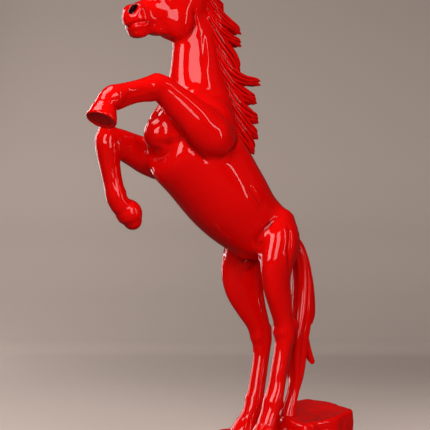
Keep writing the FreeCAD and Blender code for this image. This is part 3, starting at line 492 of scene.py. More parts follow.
def pressed(shells, grain):
    """One skin round all the shells: their union on a grid of cubes whose side is the grain."""
    clay = bare_object("clay", *gathered(shells))
    remesh = clay.modifiers.new("grain", "REMESH")
    remesh.mode = "VOXEL"
    remesh.voxel_size = grain
    mesh = bpy.data.meshes.new_from_object(clay.evaluated_get(bpy.context.evaluated_depsgraph_get()))
    bpy.data.objects.remove(clay)
    points = np.empty(len(mesh.vertices) * 3)
    mesh.vertices.foreach_get("co", points)
    corners = np.empty(len(mesh.loops), int)
    mesh.loops.foreach_get("vertex_index", corners)
    bpy.data.meshes.remove(mesh)
    return points.reshape(-1, 3), corners.reshape(-1, 4)


class Skin:
    """A closed skin of quads in mm that is worked all at once."""

    def __init__(self, points, quads):
        self.points = points
        self.quads = quads
        edges = np.concatenate([quads[:, [0, 1]], quads[:, [1, 2]], quads[:, [2, 3]], quads[:, [3, 0]]])
        self.edges = np.unique(np.sort(edges), axis=0)
        self.neighbours = np.bincount(self.edges.ravel(), minlength=len(points))[:, None]

    def mean(self, values):
        """Each point's mean over its neighbours."""
        first, second = self.edges.T
        size = len(self.points)
        sums = [np.bincount(first, values[second, k], size) + np.bincount(second, values[first, k], size)
                for k in range(values.shape[1])]
        return np.stack(sums, axis=1) / self.neighbours

    def smooth(self, rounds):
        """Points go half way to their neighbours' mean and then a little more back, so nothing shrinks."""
        for _ in range(rounds):
            for step in (0.5, -0.52):
                self.points = self.points + step * (self.mean(self.points) - self.points)

    def relax(self, rounds):
        """Points go half way to their neighbours' mean, which rounds every edge."""
        for _ in range(rounds):
            self.points = self.points + 0.5 * (self.mean(self.points) - self.points)

    def fill(self, rounds):
        """Presses clay into every hollow: a point that lies below its neighbours' mean comes out nearly
        to it along its normal, so forms flow into each other, and no ridge is lowered."""
        push = 0.85
        for turn in range(rounds):
            if turn % 4 == 0:
                normals = self.normals()
            rise = ((self.mean(self.points) - self.points) * normals).sum(axis=1)
            self.points = self.points + normals * (push * np.clip(rise, 0, None))[:, None]

    def waver(self, amount, length):
        """The unevenness of a form worked by hand: three crossed waves, along the normals."""
        turn = 2 * np.pi / length
        x, y, z = self.points.T
        wave = (np.sin(turn * (x + 0.6 * z) + 1.1 * np.sin(turn * 0.7 * y))
                + np.sin(turn * (0.8 * y - 0.5 * x + 0.3 * z) + 2.0 + 1.3 * np.sin(turn * 0.6 * z))
                + np.sin(turn * (1.1 * z - 0.4 * y) + 4.0 + 1.2 * np.sin(turn * 0.5 * x)))
        self.points = self.points + self.normals() * (amount / 3 * wave)[:, None]

    def normals(self):
        """Each point's normal: the sum of those of its quads, each by its area, made one long."""
        corners = self.points[self.quads]
        facing = np.cross(corners[:, 2] - corners[:, 0], corners[:, 3] - corners[:, 1])
        size = len(self.points)
        return unit(np.stack([sum(np.bincount(self.quads[:, c], facing[:, k], size) for c in range(4))
                              for k in range(3)], axis=1))

    def near(self, line, reach):
        """For the points near a line of places: their numbers, distances and shares of the way along."""
        line = np.array(line, float)
        low = line.min(axis=0) - 3 * reach
        high = line.max(axis=0) + 3 * reach
        index = np.nonzero(((self.points > low) & (self.points < high)).all(axis=1))[0]
        here = self.points[index][:, None]
        start = line[None, :-1]
        step = line[None, 1:] - start
        share = np.clip(((here - start) * step).sum(axis=2) / (step ** 2).sum(axis=2), 0, 1)
        gap = np.linalg.norm(here - start - share[..., None] * step, axis=2)
        best = gap.argmin(axis=1)
        pick = np.arange(len(index))
        return index, gap[pick, best], (best + share[pick, best]) / (len(line) - 1)

    def crease(self, line, reach, depth):
        """Moves the skin in along its normals by depth * exp(-(distance / reach)^2), fading over the
        first and the last quarter of the line. A negative depth raises a ridge."""
        index, gap, share = self.near(spread(line, 5), reach)
        fade = np.clip(4 * share, 0, 1) * np.clip(4 * (1 - share), 0, 1)
        amount = depth * np.exp(-(gap / reach) ** 2) * fade
        self.points[index] -= self.normals()[index] * amount[:, None]

    def dimple(self, at, reach, depth):
        """Moves the skin in round one place by depth * exp(-(distance / reach)^2)."""
        index, gap, _ = self.near([at, np.array(at) + 0.01], reach)
        self.points[index] -= self.normals()[index] * (depth * np.exp(-(gap / reach) ** 2))[:, None]

    def hollow(self, at, axis, radius, depth, rim):
        """Sinks a disc of the skin along an axis, with a wall as wide as the rim is soft. Only skin
        within 4 mm of the disc's plane goes with it."""
        axis = unit(np.array(axis, float))
        offset = self.points - np.array(at, float)
        height = offset @ axis
        gap = np.linalg.norm(offset - height[:, None] * axis, axis=1)
        share = np.clip((radius - gap) / rim, 0, 1)
        share = share * share * (3 - 2 * share) * (np.abs(height) < 4)
        self.points += axis * (share * depth)[:, None]


SKIN_GRAIN = 1.25
skin = Skin(*pressed([form for _, form in forms], SKIN_GRAIN))
skin.relax(2)
skin.fill(40)
skin.relax(6)
skin.smooth(6)
skin.waver(amount=0.14, length=36)


def both(line):
    """A line and its mirror image on the far side."""
    return [line, [(x, -y, z) for x, y, z in line]]


# The photograph's middle in its pixels, and in mm the gap between limbs and the strip left at the middle
PHOTO_MIDDLE = 215
LIMB_GAP = 20
CLEAR_OF_MIDDLE = 6


def seen(pixels):
    """Where the lens sees pixels of the photograph on the skin: each ray's first meeting with it.
    A place that lies far behind or before the last one is on another limb, and is left out."""
    eye = camera.location / MM
    places = []
    for u, v in pixels:
        shift = across * (u - PHOTO_MIDDLE) + Vector((0, 0, PHOTO_MIDDLE - v))
        place = sight.ray_cast(eye, (look * CAMERA_DISTANCE + shift * MM).normalized())[0]
        if place and (not places or (place - places[-1]).length < LIMB_GAP):
            places.append(place)
    return [tuple(place) for place in places]


def scored(side, pixels, reach, depth):
    """A crease drawn on the photograph, and its like on the far side where it keeps clear of the middle."""
    line = seen(pixels)
    lines = [line]
    if side == "both":
        lines.append([(x, -y, z) for x, y, z in line if y < -CLEAR_OF_MIDDLE])
    for path in lines:
        if len(path) > 1:
            skin.crease(path, reach, depth)


sight = BVHTree.FromPolygons(skin.points.tolist(), skin.quads.tolist())
# Head: the mouth and its lips, the hollow behind them, the jaw's edge, the nostrils and the eyes.
# Lines in the photograph's pixels have u and v alone, and those with x, y and z are in mm.
MOUTH = ((122.8, 28.5), (125, 27.7), (130, 25.3), (137, 22.8), (144, 22.0), (149, 22))
LIP_RIDGE = ((127, 31), (135, 27.5), (143, 26))
CHEEK_HOLLOW = ((149, 23), (158, 25), (166, 30), (171, 37))
JAW_EDGE = ((192, 4), (195, 14), (195.5, 24), (192.5, 32), (187, 38))
NOSTRIL_RIM = ((137.5, 3.5), (140, 8), (138.5, 12.5), (135, 15.5))
NOSTRIL = ((135.4, 6.2), (133.8, 8.6), (132.2, 11.0))
NOSTRIL_AXIS = (0.35, -0.9, -0.1)
PINHOLE = (186.5, 28)
EYE = (-129, -16.5, 461)
LOWER_LID = [(-134.5, -15, 459), (-130, -16.5, 457), (-125, -17, 457.5), (-121, -16.5, 460)]
UPPER_LID = [(-134, -15, 460.5), (-129, -16, 464.5), (-123.5, -16, 465), (-120, -16, 461)]
mouth_line = seen(MOUTH)
for line in both(mouth_line):
    skin.crease(line, reach=1.4, depth=2.4)
scored("both", LIP_RIDGE, reach=2.0, depth=-0.5)
scored("both", CHEEK_HOLLOW, reach=4.0, depth=0.8)
scored("both", JAW_EDGE, reach=3.0, depth=1.6)
scored("both", NOSTRIL_RIM, reach=2.2, depth=-0.8)
nostril_line = seen(NOSTRIL)
for x, y, z in nostril_line:
    for hand in (1, -1):
        inward = np.array(NOSTRIL_AXIS) * (1, np.sign(y * hand), 1)
        skin.hollow((x, y * hand, z), inward, radius=3.6, depth=1.6, rim=1.6)
for line in both(seen([PINHOLE])):
    for place in line:
        skin.dimple(place, reach=1.1, depth=1.2)
for (eye,) in both([EYE]):
    skin.dimple(eye, reach=2.2, depth=-1.0)
for line in both(LOWER_LID) + both(UPPER_LID):
    skin.crease(line, reach=1.3, depth=1.0)
# Neck: the flat of its side and the channel behind it
NECK_FLAT = ((192, 34), (192, 48), (192, 62), (192.5, 76), (193.5, 92))
NECK_CHANNEL = ((204, 30), (204.5, 50), (205, 70), (206, 92))
scored("both", NECK_FLAT, reach=8.0, depth=0.8)
scored("both", NECK_CHANNEL, reach=3.2, depth=0.5)
# Breast, shoulder and arm: the edges at which one muscle ends on the next
BREAST_EDGE = ((152, 142), (160, 142.5), (168, 142.5), (177, 140), (185, 134))
SHOULDER_TOP = ((190, 89), (199, 98), (208, 107), (217, 116))
SHOULDER_EDGE = ((228, 106), (233, 115), (236.5, 125), (238, 134), (237.5, 142), (233, 150), (225, 156.5),
                 (214, 159.5))
ARM_EDGE = ((173, 116), (180, 129), (188, 142), (197, 152), (206, 159), (214, 160))
FAR_SHOULDER_EDGE = [(-71, 34, 350), (-64, 32, 340), (-61, 30, 330), (-63, 29, 318), (-72, 30, 308),
                     (-84, 33, 302)]
FAR_ARM_EDGE = [(-108, 46, 330), (-100, 44, 322), (-96, 42, 312)]
scored("near", BREAST_EDGE, reach=3.4, depth=0.9)
scored("near", SHOULDER_TOP, reach=3.2, depth=1.3)
scored("near", SHOULDER_EDGE, reach=3.2, depth=2.0)
scored("near", ARM_EDGE, reach=3.4, depth=1.4)
skin.crease(FAR_SHOULDER_EDGE, reach=2.4, depth=2.2)
skin.crease(FAR_ARM_EDGE, reach=2.8, depth=1.6)
# Flank, thigh, buttock and groin
FLANK_FOLD = ((247, 184), (253, 193.5), (259, 203), (264, 213))
FLANK_RIDGE = ((251, 184), (257, 193.5), (262.5, 203))
FAR_THIGH_HOLLOW = ((243, 268), (243, 276), (243.5, 284))
THIGH_EDGE = ((276, 216), (269, 224), (261, 232), (255.5, 240), (257, 248))
BUTTOCK_EDGE = ((287, 223), (290, 233), (289, 247), (288.5, 261), (290, 275), (292, 290), (292.5, 306))
BUTTOCK_RIDGE = ((293.5, 240), (294, 250), (293, 262))
BUTTOCK_KNOBS = ((285.5, 256), (286, 262), (292, 256))
GROIN_KNOB = (248.5, 264)
scored("near", FLANK_FOLD, reach=2.6, depth=1.0)
scored("near", FLANK_RIDGE, reach=2.4, depth=-1.0)
scored("near", FAR_THIGH_HOLLOW, reach=6.0, depth=0.8)
scored("both", THIGH_EDGE, reach=4.2, depth=1.5)
scored("both", BUTTOCK_EDGE, reach=2.2, depth=1.3)
scored("both", BUTTOCK_RIDGE, reach=3.0, depth=-0.7)
for place in seen(BUTTOCK_KNOBS):
    skin.dimple(place, reach=1.6, depth=-0.7)
for place in seen([GROIN_KNOB]):
    skin.dimple(place, reach=2.7, depth=-5.0)
# Legs: the strings of the hocks, and the flat of each bone with the tendon's channel behind it
for line, reach, depth in (
        ([(10, -33, 176), (12, -31, 162), (13.5, -29, 150)], 3.0, 1.1),
        ([(19, 33, 168), (20, 31, 154), (21.5, 29, 141)], 3.0, 1.1),
        ([(19.5, 29.5, 120), (16.5, 29, 104), (12, 28.5, 88), (9.5, 28, 76)], 2.2, 0.9)):
    skin.crease(line, reach, depth)
NEAR_HIND_BONE = ((267, 352), (265, 372), (262, 392), (258, 407))
NEAR_HIND_CHANNEL = ((272, 352), (270.5, 374), (268, 395), (266, 408))
FAR_HIND_BONE = ((245, 356), (243, 376), (240, 400))
FAR_HIND_CHANNEL = ((249, 350), (247.5, 372), (245.5, 394))
FAR_FORE_CHANNEL = ((114, 162), (114.5, 176), (118, 192))
FAR_FORE_BONE = ((103, 145), (106, 165), (110, 185))
NEAR_FORE_CHANNEL = ((124, 96.5), (135, 93), (148, 91))
for pixels, reach, depth in (
        (NEAR_HIND_BONE, 3.0, -0.6), (NEAR_HIND_CHANNEL, 2.2, 1.0), (FAR_HIND_BONE, 3.0, -0.6),
        (FAR_HIND_CHANNEL, 2.2, 1.0), (FAR_FORE_CHANNEL, 2.2, 0.9), (FAR_FORE_BONE, 3.0, -0.6),
        (NEAR_FORE_CHANNEL, 2.2, 0.8)):
    scored("near", pixels, reach, depth)


def crown(centre, axis, radius, reach, depth):
    """A circle pressed in round the top of a hoof, where the hair stops, square to the foot's axis."""
    axis = unit(np.array(axis, float))
    across_foot = unit(np.cross(axis, [0, 1, 0]))
    level = np.cross(axis, across_foot)
    angle = np.linspace(0, 2 * np.pi, 25)[:, None]
    line = np.array(centre) + radius * (np.cos(angle) * across_foot + np.sin(angle) * level)
    index, gap, _ = skin.near(line, reach)
    skin.points[index] -= skin.normals()[index] * (depth * np.exp(-(gap / reach) ** 2))[:, None]


for place, axis, radius, reach, depth in (
        ((-214.2, -30.5, 350.5), (-0.3, 0, -0.95), 10.6, 1.5, 0.8),
        ((-152.5, 30, 261.5), (0.7, 0, -0.7), 10.4, 2.2, 0.6),
        ((-15.5, -20, 50), (-0.4, 0, -0.9), 10.4, 1.5, 0.8),
        ((-5, 20, 50.5), (-0.35, 0, -0.93), 10.0, 1.5, 0.8)):
    crown(place, axis, radius, reach, depth)
NEAR_SOLE = (-220.2, -32.6, 336.6)
skin.hollow(NEAR_SOLE, (0.42, 0.14, 0.9), radius=12.0, depth=1.6, rim=1.4)
skin.relax(1)
skin.smooth(4)


def pinched(worked):
    """How deep each point lies below its surroundings, from 0 on a ridge to 1 in a crease."""
    gain = 8
    values = ((worked.mean(worked.points) - worked.points) * worked.normals()).sum(axis=1)[:, None]
    for _ in range(6):
        values = worked.mean(values)
    return np.clip(0.5 + values[:, 0] * gain, 0, 1)


def enamel(name):
    """Sprayed gloss enamel: pure red, with painted shade that deepens it in creases, and the faint waves of a
    thick coat. Where the crease passes 1 the red goes over to painted shade near black, and the gloss fades,
    as in a dark hole."""
    red_coat = (0.80, 0.0015, 0.001, 1)
    crease_shade_coat = (0.22, 0.0, 0.0, 1)
    # Near-black painted shade for the insides of the nostrils and the mouth
    hole = (0.012, 0.0, 0.0, 1)
    paint = Paint(name)
    crease = paint.node("ShaderNodeAttribute", {"attribute_name": "crease"}, [], out="Fac")
    cloud = paint.noise(38, 3)
    # Painted shade: the red darkens where the crease value passes 0.62, and goes near black past 1.02
    painted_shade = paint.fade(crease + cloud * 0.06, 0.62, 1.0)
    inside = paint.fade(crease, 1.02, 1.25)
    colour = paint.blend(inside, paint.blend(painted_shade, red_coat, crease_shade_coat), hole)
    paint.set(Base_Color=colour, Roughness=paint.fade(cloud, 0.3, 0.7, 0.30, 0.40),
              Coat_Weight=paint.fade(crease, 1.02, 1.25, 1.0, 0.1), Coat_Roughness=0.03,
              Specular_IOR_Level=0.0, Coat_IOR=1.42)
    waves = paint.noise(75, 2) * 0.8 + paint.noise(400, 1) * 0.08
    return paint.bump(waves, distance=0.0009, strength=0.6)


red = enamel("red_enamel")


def dressed(name, points, faces, nodes, crease, normals=None):
    """A finished piece in metres, in red enamel, with its place in the table."""
    piece = bare_object(name, points * MM, faces)
    mesh = piece.data
    mesh.attributes.new("crease", "FLOAT", "POINT").data.foreach_set("value", crease)
    mesh.polygons.foreach_set("use_smooth", np.ones(len(mesh.polygons), bool))
    mesh.materials.append(red.material)
    if normals is not None:
        mesh.normals_split_custom_set_from_vertices(normals)
    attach(piece, "root")
    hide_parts(*nodes)


# Painted shade, near black, inside the nostrils and the mouth: there the crease is past 1, most at their
# middle
NOSTRIL_DARK = 1.5
NOSTRIL_WIDTH = 3.7
NOSTRIL_SHIFT = (0.8, 2)
MOUTH_DARK = 1.15
MOUTH_WIDTH = 1.3
MOUTH_REACH = 1.5
# The crease values set the enamel's painted shade: darker the deeper a point lies in a crease
crease = pinched(skin)
for x, y, z in nostril_line:
    for hand in (1, -1):
        middle = (x + NOSTRIL_SHIFT[0], (y - NOSTRIL_SHIFT[1] * np.sign(y)) * hand, z)
        gap = np.linalg.norm(skin.points - middle, axis=1)
        crease = np.maximum(crease, NOSTRIL_DARK * np.exp(-(gap / NOSTRIL_WIDTH) ** 4))
for line in both(mouth_line):
    index, gap, _ = skin.near(line, MOUTH_REACH)
    crease[index] = np.maximum(crease[index], MOUTH_DARK * np.exp(-(gap / MOUTH_WIDTH) ** 2))
# The castings part where the forms on either side of a joint meet
facing = skin.normals()
near_form = kdtree.KDTree(sum(len(names) for names, _ in forms))
owners = np.concatenate([names for names, _ in forms])
for number, point in enumerate(np.vstack([form[0] for _, form in forms])):
    near_form.insert(point, number)
near_form.balance()
LID_DEPTH = 5


def lidded(points, quads):
    """A cut skin closed again: the open edges of each hole run to a point inside it.
    Gives the new points, the faces and how many points were added."""
    edges = np.concatenate([quads[:, [0, 1]], quads[:, [1, 2]], quads[:, [2, 3]], quads[:, [3, 0]]])
    known = set(map(tuple, edges.tolist()))
    follow = {b: a for a, b in known if (b, a) not in known}
    middle = points.mean(axis=0)
    lids = []
    added = []
    while follow:
        ring = [next(iter(follow))]
        while ring[-1] in follow:
            ring.append(follow.pop(ring[-1]))
        centre = points[ring].mean(axis=0)
        added.append(centre + LID_DEPTH * unit(middle - centre))
        lids += [(a, b, len(points) + len(added) - 1) for a, b in zip(ring, ring[1:])]
    return np.vstack([points] + [added]) if added else points, quads.tolist() + lids, len(added)


middles = skin.points[skin.quads].mean(axis=1)
owner = np.array([owners[near_form.find(middle)[1]] for middle in middles], dtype=object)
castings = np.array(sorted(set(owner)), dtype=object)
vote = (owner[:, None] == castings).astype(float)
VOTES = 8
for _ in range(VOTES):
    held = np.stack([sum(np.bincount(skin.quads[:, c], vote[:, k], len(skin.points)) for c in range(4))
                     for k in range(len(castings))], axis=1)
    vote = (held / held.sum(axis=1, keepdims=True))[skin.quads].mean(axis=1)
owner = castings[vote.argmax(axis=1)]
for node in sorted(set(owner)):
    used, corners = np.unique(skin.quads[owner == node], return_inverse=True)
    points, faces, added = lidded(skin.points[used], corners.reshape(-1, 4))
    inward = unit(skin.points[used].mean(axis=0) - points[len(used):])
    shells = ["body_left_shell", "body_right_shell"] if node == "body" else [node]
    dressed(f"{node}_skin", points, faces, shells, np.append(crease[used], np.zeros(added)),
            np.vstack([facing[used], -inward]))

# The mane: tufts of hair that leave the crest and stream back. The sculptor cut each with a gouge, so
# strands run along it, and its tip is a blunt point. It is cast apart and glued along the neck.
# Rows hold x, z and half the tuft's breadth.
TUFTS = (
    ((-97, 489, 4.5), (-86, 490, 6.5), (-75, 488.5, 6.0), (-65, 487, 4.2)),
    ((-92, 481, 4.5), (-80, 477, 6.5), (-67, 472, 6.0), (-57, 470.5, 4.4)),
    ((-87, 473, 4.5), (-77, 464, 6.2), (-67, 458, 6.2), (-59, 455.4, 4.6)),
    ((-82, 461, 5.0), (-69, 450, 7.0), (-53, 441.5, 6.6), (-39, 437.0, 3.6)),
    ((-79, 446, 4.5), (-65, 434, 5.6), (-51, 427, 5.0), (-38, 424.4, 3.4)),
    ((-76, 434, 6.5), (-60, 417, 10.0), (-46, 406, 9.6), (-39, 398.5, 6.5)),
    ((-68, 411, 6.0), (-50, 394, 7.0), (-31, 387, 5.6), (-14, 387.4, 3.2)),
    ((-66, 396, 6.5), (-46, 378, 8.4), (-29, 371.5, 8.0), (-18, 370.0, 5.4)),
    ((-60, 381, 6.5), (-41, 362, 8.0), (-25, 353.5, 7.2), (-15, 351.0, 5.0)),
    ((-54, 366, 6.5), (-36, 349, 8.0), (-23, 339.5, 6.8), (-15, 335.6, 4.6)),
    ((-49, 352, 6.0), (-34, 336, 7.6), (-24, 326, 6.6), (-19, 321, 4.6)))
HAIR_AROUND = 48


def tuft(path, y, breadth=1.0, thick=5.8, turn=0.0, shift=(0, 0)):
    """One lock: a fluted form along its path, its strands side by side at y and closing at the tip."""
    share = (0.85, 1.0, 0.9, 0.72)
    closing = 0.62
    tip_reach = 0.3
    tip_depth = 0.3
    tip_width = 0.4
    rows = [(x + shift[0], y * (1 - closing * n / 3), z + shift[1], deep * breadth, thick * share[n])
            for n, (x, z, deep) in enumerate(path)]
    (x, y, z, _, _), (end_x, end_y, end_z, deep, wide) = rows[-2:]
    rows.append((end_x + tip_reach * (end_x - x), end_y, end_z + tip_reach * (end_z - z), tip_depth * deep,
                 tip_width * wide))
    return limb(rows, around=HAIR_AROUND, span=9, flutes=8, flute_depth=0.18, twist=turn)


# Each tuft is three locks side by side, with two thinner ones under them that start further forward
mane = []
for number, path in enumerate(TUFTS):
    lean = 0.5 if number % 2 else -0.5
    mane.append(tuft(path, -6.0 + lean, turn=0.6))
    mane.append(tuft(path, 0.0, breadth=0.96, thick=6.4, turn=-0.4, shift=(0.8, 0.6)))
    mane.append(tuft(path, 6.0 + lean, breadth=0.98, turn=-0.6, shift=(-0.6, -0.6)))
    inner = [(x - 6 + 2 * n, z + 7 - 3.4 * n, deep * 0.72) for n, (x, z, deep) in enumerate(path)]
    mane.append(tuft(inner, -9.0 - lean, turn=0.5, thick=4.0))
    mane.append(tuft(inner, 9.0 - lean, turn=-0.5, thick=4.0))
CREST = [(-92, 0, 478, 12, 8), (-82, 0, 462, 13, 9), (-76, 0, 440, 12, 9), (-69, 0, 418, 11, 9),
         (-63, 0, 398, 11, 9), (-58, 0, 380, 11, 9), (-50, 0, 362, 10, 9), (-40, 0, 344, 8, 7)]
mane.append(limb(CREST, around=HAIR_AROUND, span=10, flutes=11, flute_depth=0.14, twist=2.0))


def flowing_hair(name, shells, node):
    """Locks left as they were carved, one lying on another. The enamel gets painted shade in the grooves
    between strands, where a point lies nearer to its ring's centre than its neighbours do: the crease is half
    and a gain times that share."""
    gain = 4.5
    points, faces = gathered(shells)
    painted_shade = []
    for shell, _ in shells:
        rings = shell[:-2].reshape(-1, HAIR_AROUND, 3)
        size = np.linalg.norm(rings - rings.mean(axis=1, keepdims=True), axis=2)
        around = sum(np.roll(size, step, axis=1) for step in range(-3, 4)) / 7
        painted_shade.append(np.append(np.clip(0.5 + gain * (around - size) / around, 0, 1), (0.5, 0.5)))
    dressed(name, points, faces, [node], np.concatenate(painted_shade))


flowing_hair("mane_locks", mane, "mane")

# The forelock: three locks that fall from between the ears over the brow. They are one small casting,
# carved as the mane is and glued to the poll.
forelock = []
for y, back, thick in ((-3.2, 0, 3.4), (3.2, 0, 3.4), (0, 3, 4.2)):
    path = ((-86 + back, 486, 3.5), (-97, 491, 4.6), (-113, 487.5, 3.8), (-131, 475.5, 1.8))
    forelock.append(tuft(path, y, thick=thick, turn=0.5))
flowing_hair("forelock_locks", forelock, "forelock")

# The ears: pricked and cupped, their mouths turned forward and a little out. Each is cast apart and
# glued to the poll beside the forelock.
EAR_GRAIN = 0.6
for hand, word in ((-1, "left"), (1, "right")):
    rows = [(-94.5, hand * 9.6, 472, 6.0, 5.2), (-93, hand * 11, 483, 6.6, 5.4),
            (-91, hand * 12.2, 493, 5.6, 4.6), (-88, hand * 12.7, 500.5, 3.4, 2.8),
            (-86, hand * 12.4, 505, 1.0, 0.9)]
    cup = [(-99.5, hand * 12.5, 481), (-98, hand * 14, 489), (-94, hand * 14.5, 497), (-90, hand * 13.8, 502)]
    ear = Skin(*pressed([limb(rows, around=40)], EAR_GRAIN))
    ear.relax(2)
    ear.crease(cup, reach=2.6, depth=3.6)
    ear.smooth(3)
    # The ear's crease values give the enamel painted shade in the cup
    dressed(f"{word}_ear_skin", ear.points, ear.quads.tolist(), [f"{word}_ear"], pinched(ear))

# The tail: a heavy fall of hair that stands on the crag and is the statue's third foot, with two locks
# that part from it behind. Its strands are gouged from the dock to the foot.
TAIL = [(31, 0, 231, 7, 7), (38, 0, 228, 8, 8), (45, 0, 219, 8.8, 8.5), (50, 0, 203, 9.8, 9.3),
        (52, 0, 180, 10.6, 9.8), (50, 0, 152, 11.0, 9.8), (46.5, 0, 125, 10.6, 9.0), (45, 0, 104, 9.8, 8.2),
        (43.5, 0, 90, 8.0, 7.4), (39.5, 0, 76, 6.4, 6.4), (34.5, 0, 62, 6.8, 6.8), (32, 0, 53, 8.6, 8.6)]
tail = [limb(TAIL, around=HAIR_AROUND, span=9, flutes=7, flute_depth=0.10, twist=0.8)]
# Four strands lie on the fall, two in front and two behind, between two of its rows
STRAND_OFFSET = 0.52
STRAND_SIZE = 0.56
for side, start, end, lean in ((-1, 1, 8, 3.2), (1, 1, 8, 3.2), (-1, 2, 10, -3.4), (1, 2, 10, -3.4)):
    rows = [(x + lean * min(n, end - start - n) / 3, side * wide * STRAND_OFFSET, z, deep * STRAND_SIZE,
             wide * STRAND_SIZE) for n, (x, _, z, deep, wide) in enumerate(TAIL[start:end + 1])]
    tail.append(limb(rows, around=HAIR_AROUND, span=9, flutes=3, flute_depth=0.12, twist=side * 0.8))
flowing_hair("tail_strands", tail, "tail_main")
UPPER = [(54, 0, 207, 3.5, 4), (58.5, 0, 192, 6.0, 6.0), (62.2, 0, 170, 6.2, 5.8), (63.6, 0, 154, 5.4, 5.2),
         (62.6, 0, 146, 4.0, 3.8)]
LOWER = [(51, 0, 168, 4.0, 4.0), (52.8, 0, 150, 5.2, 5.0), (56, 0, 128, 5.2, 4.8), (62.6, 0, 111, 4.0, 3.8),
         (66.6, 0, 104.5, 2.9, 2.8)]
for word, rows, flutes, flute_depth in (("upper", UPPER, 4, 0.12), ("lower", LOWER, 3, 0.10)):
    lock = limb(rows, around=HAIR_AROUND, span=9, flutes=flutes, flute_depth=flute_depth, twist=0.6)
    flowing_hair(f"tail_{word}_strands", [lock], f"tail_{word}_lock")

# The rock: a low shelf for the hooves and a crag for the tail, cast hollow, its edges worn round and
# its faces left as broken stone under the enamel. Corners are shares of 210 by 92 mm.
ROCK_LENGTH = 210
ROCK_WIDTH = 92
SHELF = ((-0.50, -0.12), (-0.44, -0.40), (-0.22, -0.50), (0.08, -0.47), (0.31, -0.485), (0.475, -0.35),
         (0.50, 0.05), (0.455, 0.40), (0.20, 0.50), (-0.10, 0.47), (-0.36, 0.50), (-0.47, 0.25))
LEDGE = ((-0.34, 0.06), (-0.22, 0.02), (0.12, 0.018), (0.14, 0.40), (-0.08, 0.43), (-0.32, 0.42))
RIM = ((-0.20, 0.42), (0.00, 0.415), (0.13, 0.415), (0.14, 0.46), (-0.10, 0.475), (-0.22, 0.455))
CRAG = ((0.076, -0.445), (0.29, -0.465), (0.462, -0.33), (0.49, 0.05), (0.45, 0.375), (0.20, 0.47),
        (0.08, 0.44), (0.10, 0.00))


def slab(corners, low, top):
    """A flat-sided lump over an outline, its top at the height that the function gives for x and y.
    Top and bottom close on a point, through rings that are shares of the outline."""
    point = 0.02
    outline = np.array(corners) * (ROCK_LENGTH, ROCK_WIDTH)
    middle = outline.mean(axis=0)
    rings = []
    for share, lift in ((point, 0.0), (1.0, 0.0), (1.0, 1.0), (0.5, 1.0), (point, 1.0)):
        ring = middle + (outline - middle) * share
        height = low + (top(ring[:, 0], ring[:, 1]) - low) * lift
        rings.append(np.column_stack([ring, height]))
    return closed(np.array(rings))


def crag_top(x, y):
    """A plane that rises 4 degrees to the rear and 5 degrees to the far side."""
    front = 33
    return 54 + (x - front) * math.tan(math.radians(4)) + y * math.tan(math.radians(5))


# Each block of stone runs from a height up to its top
ROCK_GRAIN = 1.3
rock = Skin(*pressed([slab(SHELF, 5.2, lambda x, y: 28 + 0 * x), slab(LEDGE, 6, lambda x, y: 33 + 0 * x),
                      slab(RIM, 6, lambda x, y: 40 + 0 * x), slab(CRAG, 6, crag_top)], ROCK_GRAIN))
rock.relax(22)
rock.waver(amount=0.5, length=23)
rock.waver(amount=0.25, length=11)
for line, reach, depth in (
        ([(18, -37, 49.5), (40, -39, 51), (60, -39, 52.5), (80, -33, 54.5), (94, -27, 56), (100, 0, 59)],
         3.0, -1.2),
        ([(22, -24, 51), (48, -27, 53), (66, -14, 55), (90, -12, 57)], 8.0, 1.0),
        ([(52, 2, 55.5), (60, 16, 57), (58, 32, 58)], 8.0, 0.8),
        ([(38, -43, 50), (35, -45, 35), (40, -46, 15)], 6.0, 1.3),
        ([(76, -39, 52), (71, -42, 35), (78, -41, 12)], 6.0, 1.5),
        ([(100, -15, 54), (102, -12, 35), (104, -14, 14)], 6.0, 1.2)):
    rock.crease(line, reach, depth)
rock.relax(1)
# The rock's crease values give the enamel painted shade along its grooves and hollows
dressed("rock_skin", rock.points, rock.quads.tolist(), ["rock_base"], pinched(rock))

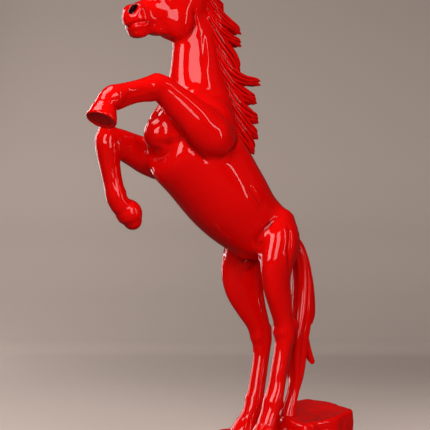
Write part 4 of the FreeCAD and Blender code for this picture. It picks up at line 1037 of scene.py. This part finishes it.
# What the enamel hides: steel rods that are bent and bolted up through the stand, the crossbar and the
# spine that they meet, dowels in the arms, a lump of iron, and under it all a plate and a rubber pad.
def turned_steel(name):
    """Drawn bar: bright metal with fine streaks along it and a little oil."""
    bright = (0.50, 0.51, 0.53, 1)
    oiled = (0.30, 0.29, 0.28, 1)
    paint = Paint(name)
    streaks = paint.noise(1400, 3)
    oil = paint.noise(90, 3)
    paint.set(Base_Color=paint.blend(paint.fade(oil, 0.35, 0.7), bright, oiled), Metallic=1.0,
              Roughness=paint.fade(streaks, 0.3, 0.7, 0.26, 0.42))
    return paint.bump(streaks, distance=0.00006, strength=0.6)


def rough_iron(name):
    """Iron as it leaves the sand: dark and grainy, with rust in patches."""
    bare = (0.07, 0.068, 0.066, 1)
    rusted = (0.16, 0.065, 0.03, 1)
    paint = Paint(name)
    grain = paint.noise(700, 4, 0.7)
    rust = paint.noise(60, 3)
    paint.set(Base_Color=paint.blend(paint.fade(rust, 0.5, 0.68), bare, rusted), Metallic=0.6,
              Roughness=0.72)
    return paint.bump(grain, distance=0.0004)


def moulded(name, tone, grain_size, shine):
    """Moulded plastic or rubber with a fine even grain."""
    paint = Paint(name)
    grain = paint.noise(grain_size, 2, 0.6)
    light, dark = [tuple(part * share for part in tone) + (1,) for share in (1.12, 0.86)]
    paint.set(Base_Color=paint.blend(paint.fade(grain, 0.3, 0.7), dark, light),
              Roughness=paint.fade(paint.noise(45), 0.3, 0.7, shine, shine + 0.12))
    return paint.bump(grain, distance=0.0002)


steel = turned_steel("drawn_steel")
for name, paint in (
        [(f"{word}_{piece}", steel) for word in ("left_hind", "right_hind", "tail")
         for piece in ("rod", "rod_washer", "rod_nut")]
        + [(f"base_screw_{number}", steel) for number in range(1, 7)]
        + [("hip_crossbar", steel), ("spine_rod", steel), ("left_foreleg_dowel", steel),
           ("right_foreleg_dowel", steel), ("ballast_block", rough_iron("sand_cast_iron")),
           ("base_plate", moulded("black_board", (0.028, 0.028, 0.030), 900, 0.5)),
           ("anti_slip_pad", moulded("black_rubber", (0.018, 0.018, 0.018), 1300, 0.75))]):
    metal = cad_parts[name].data.materials
    if not metal:
        metal.append(paint.material)
    for slot in range(len(metal)):
        metal[slot] = paint.material
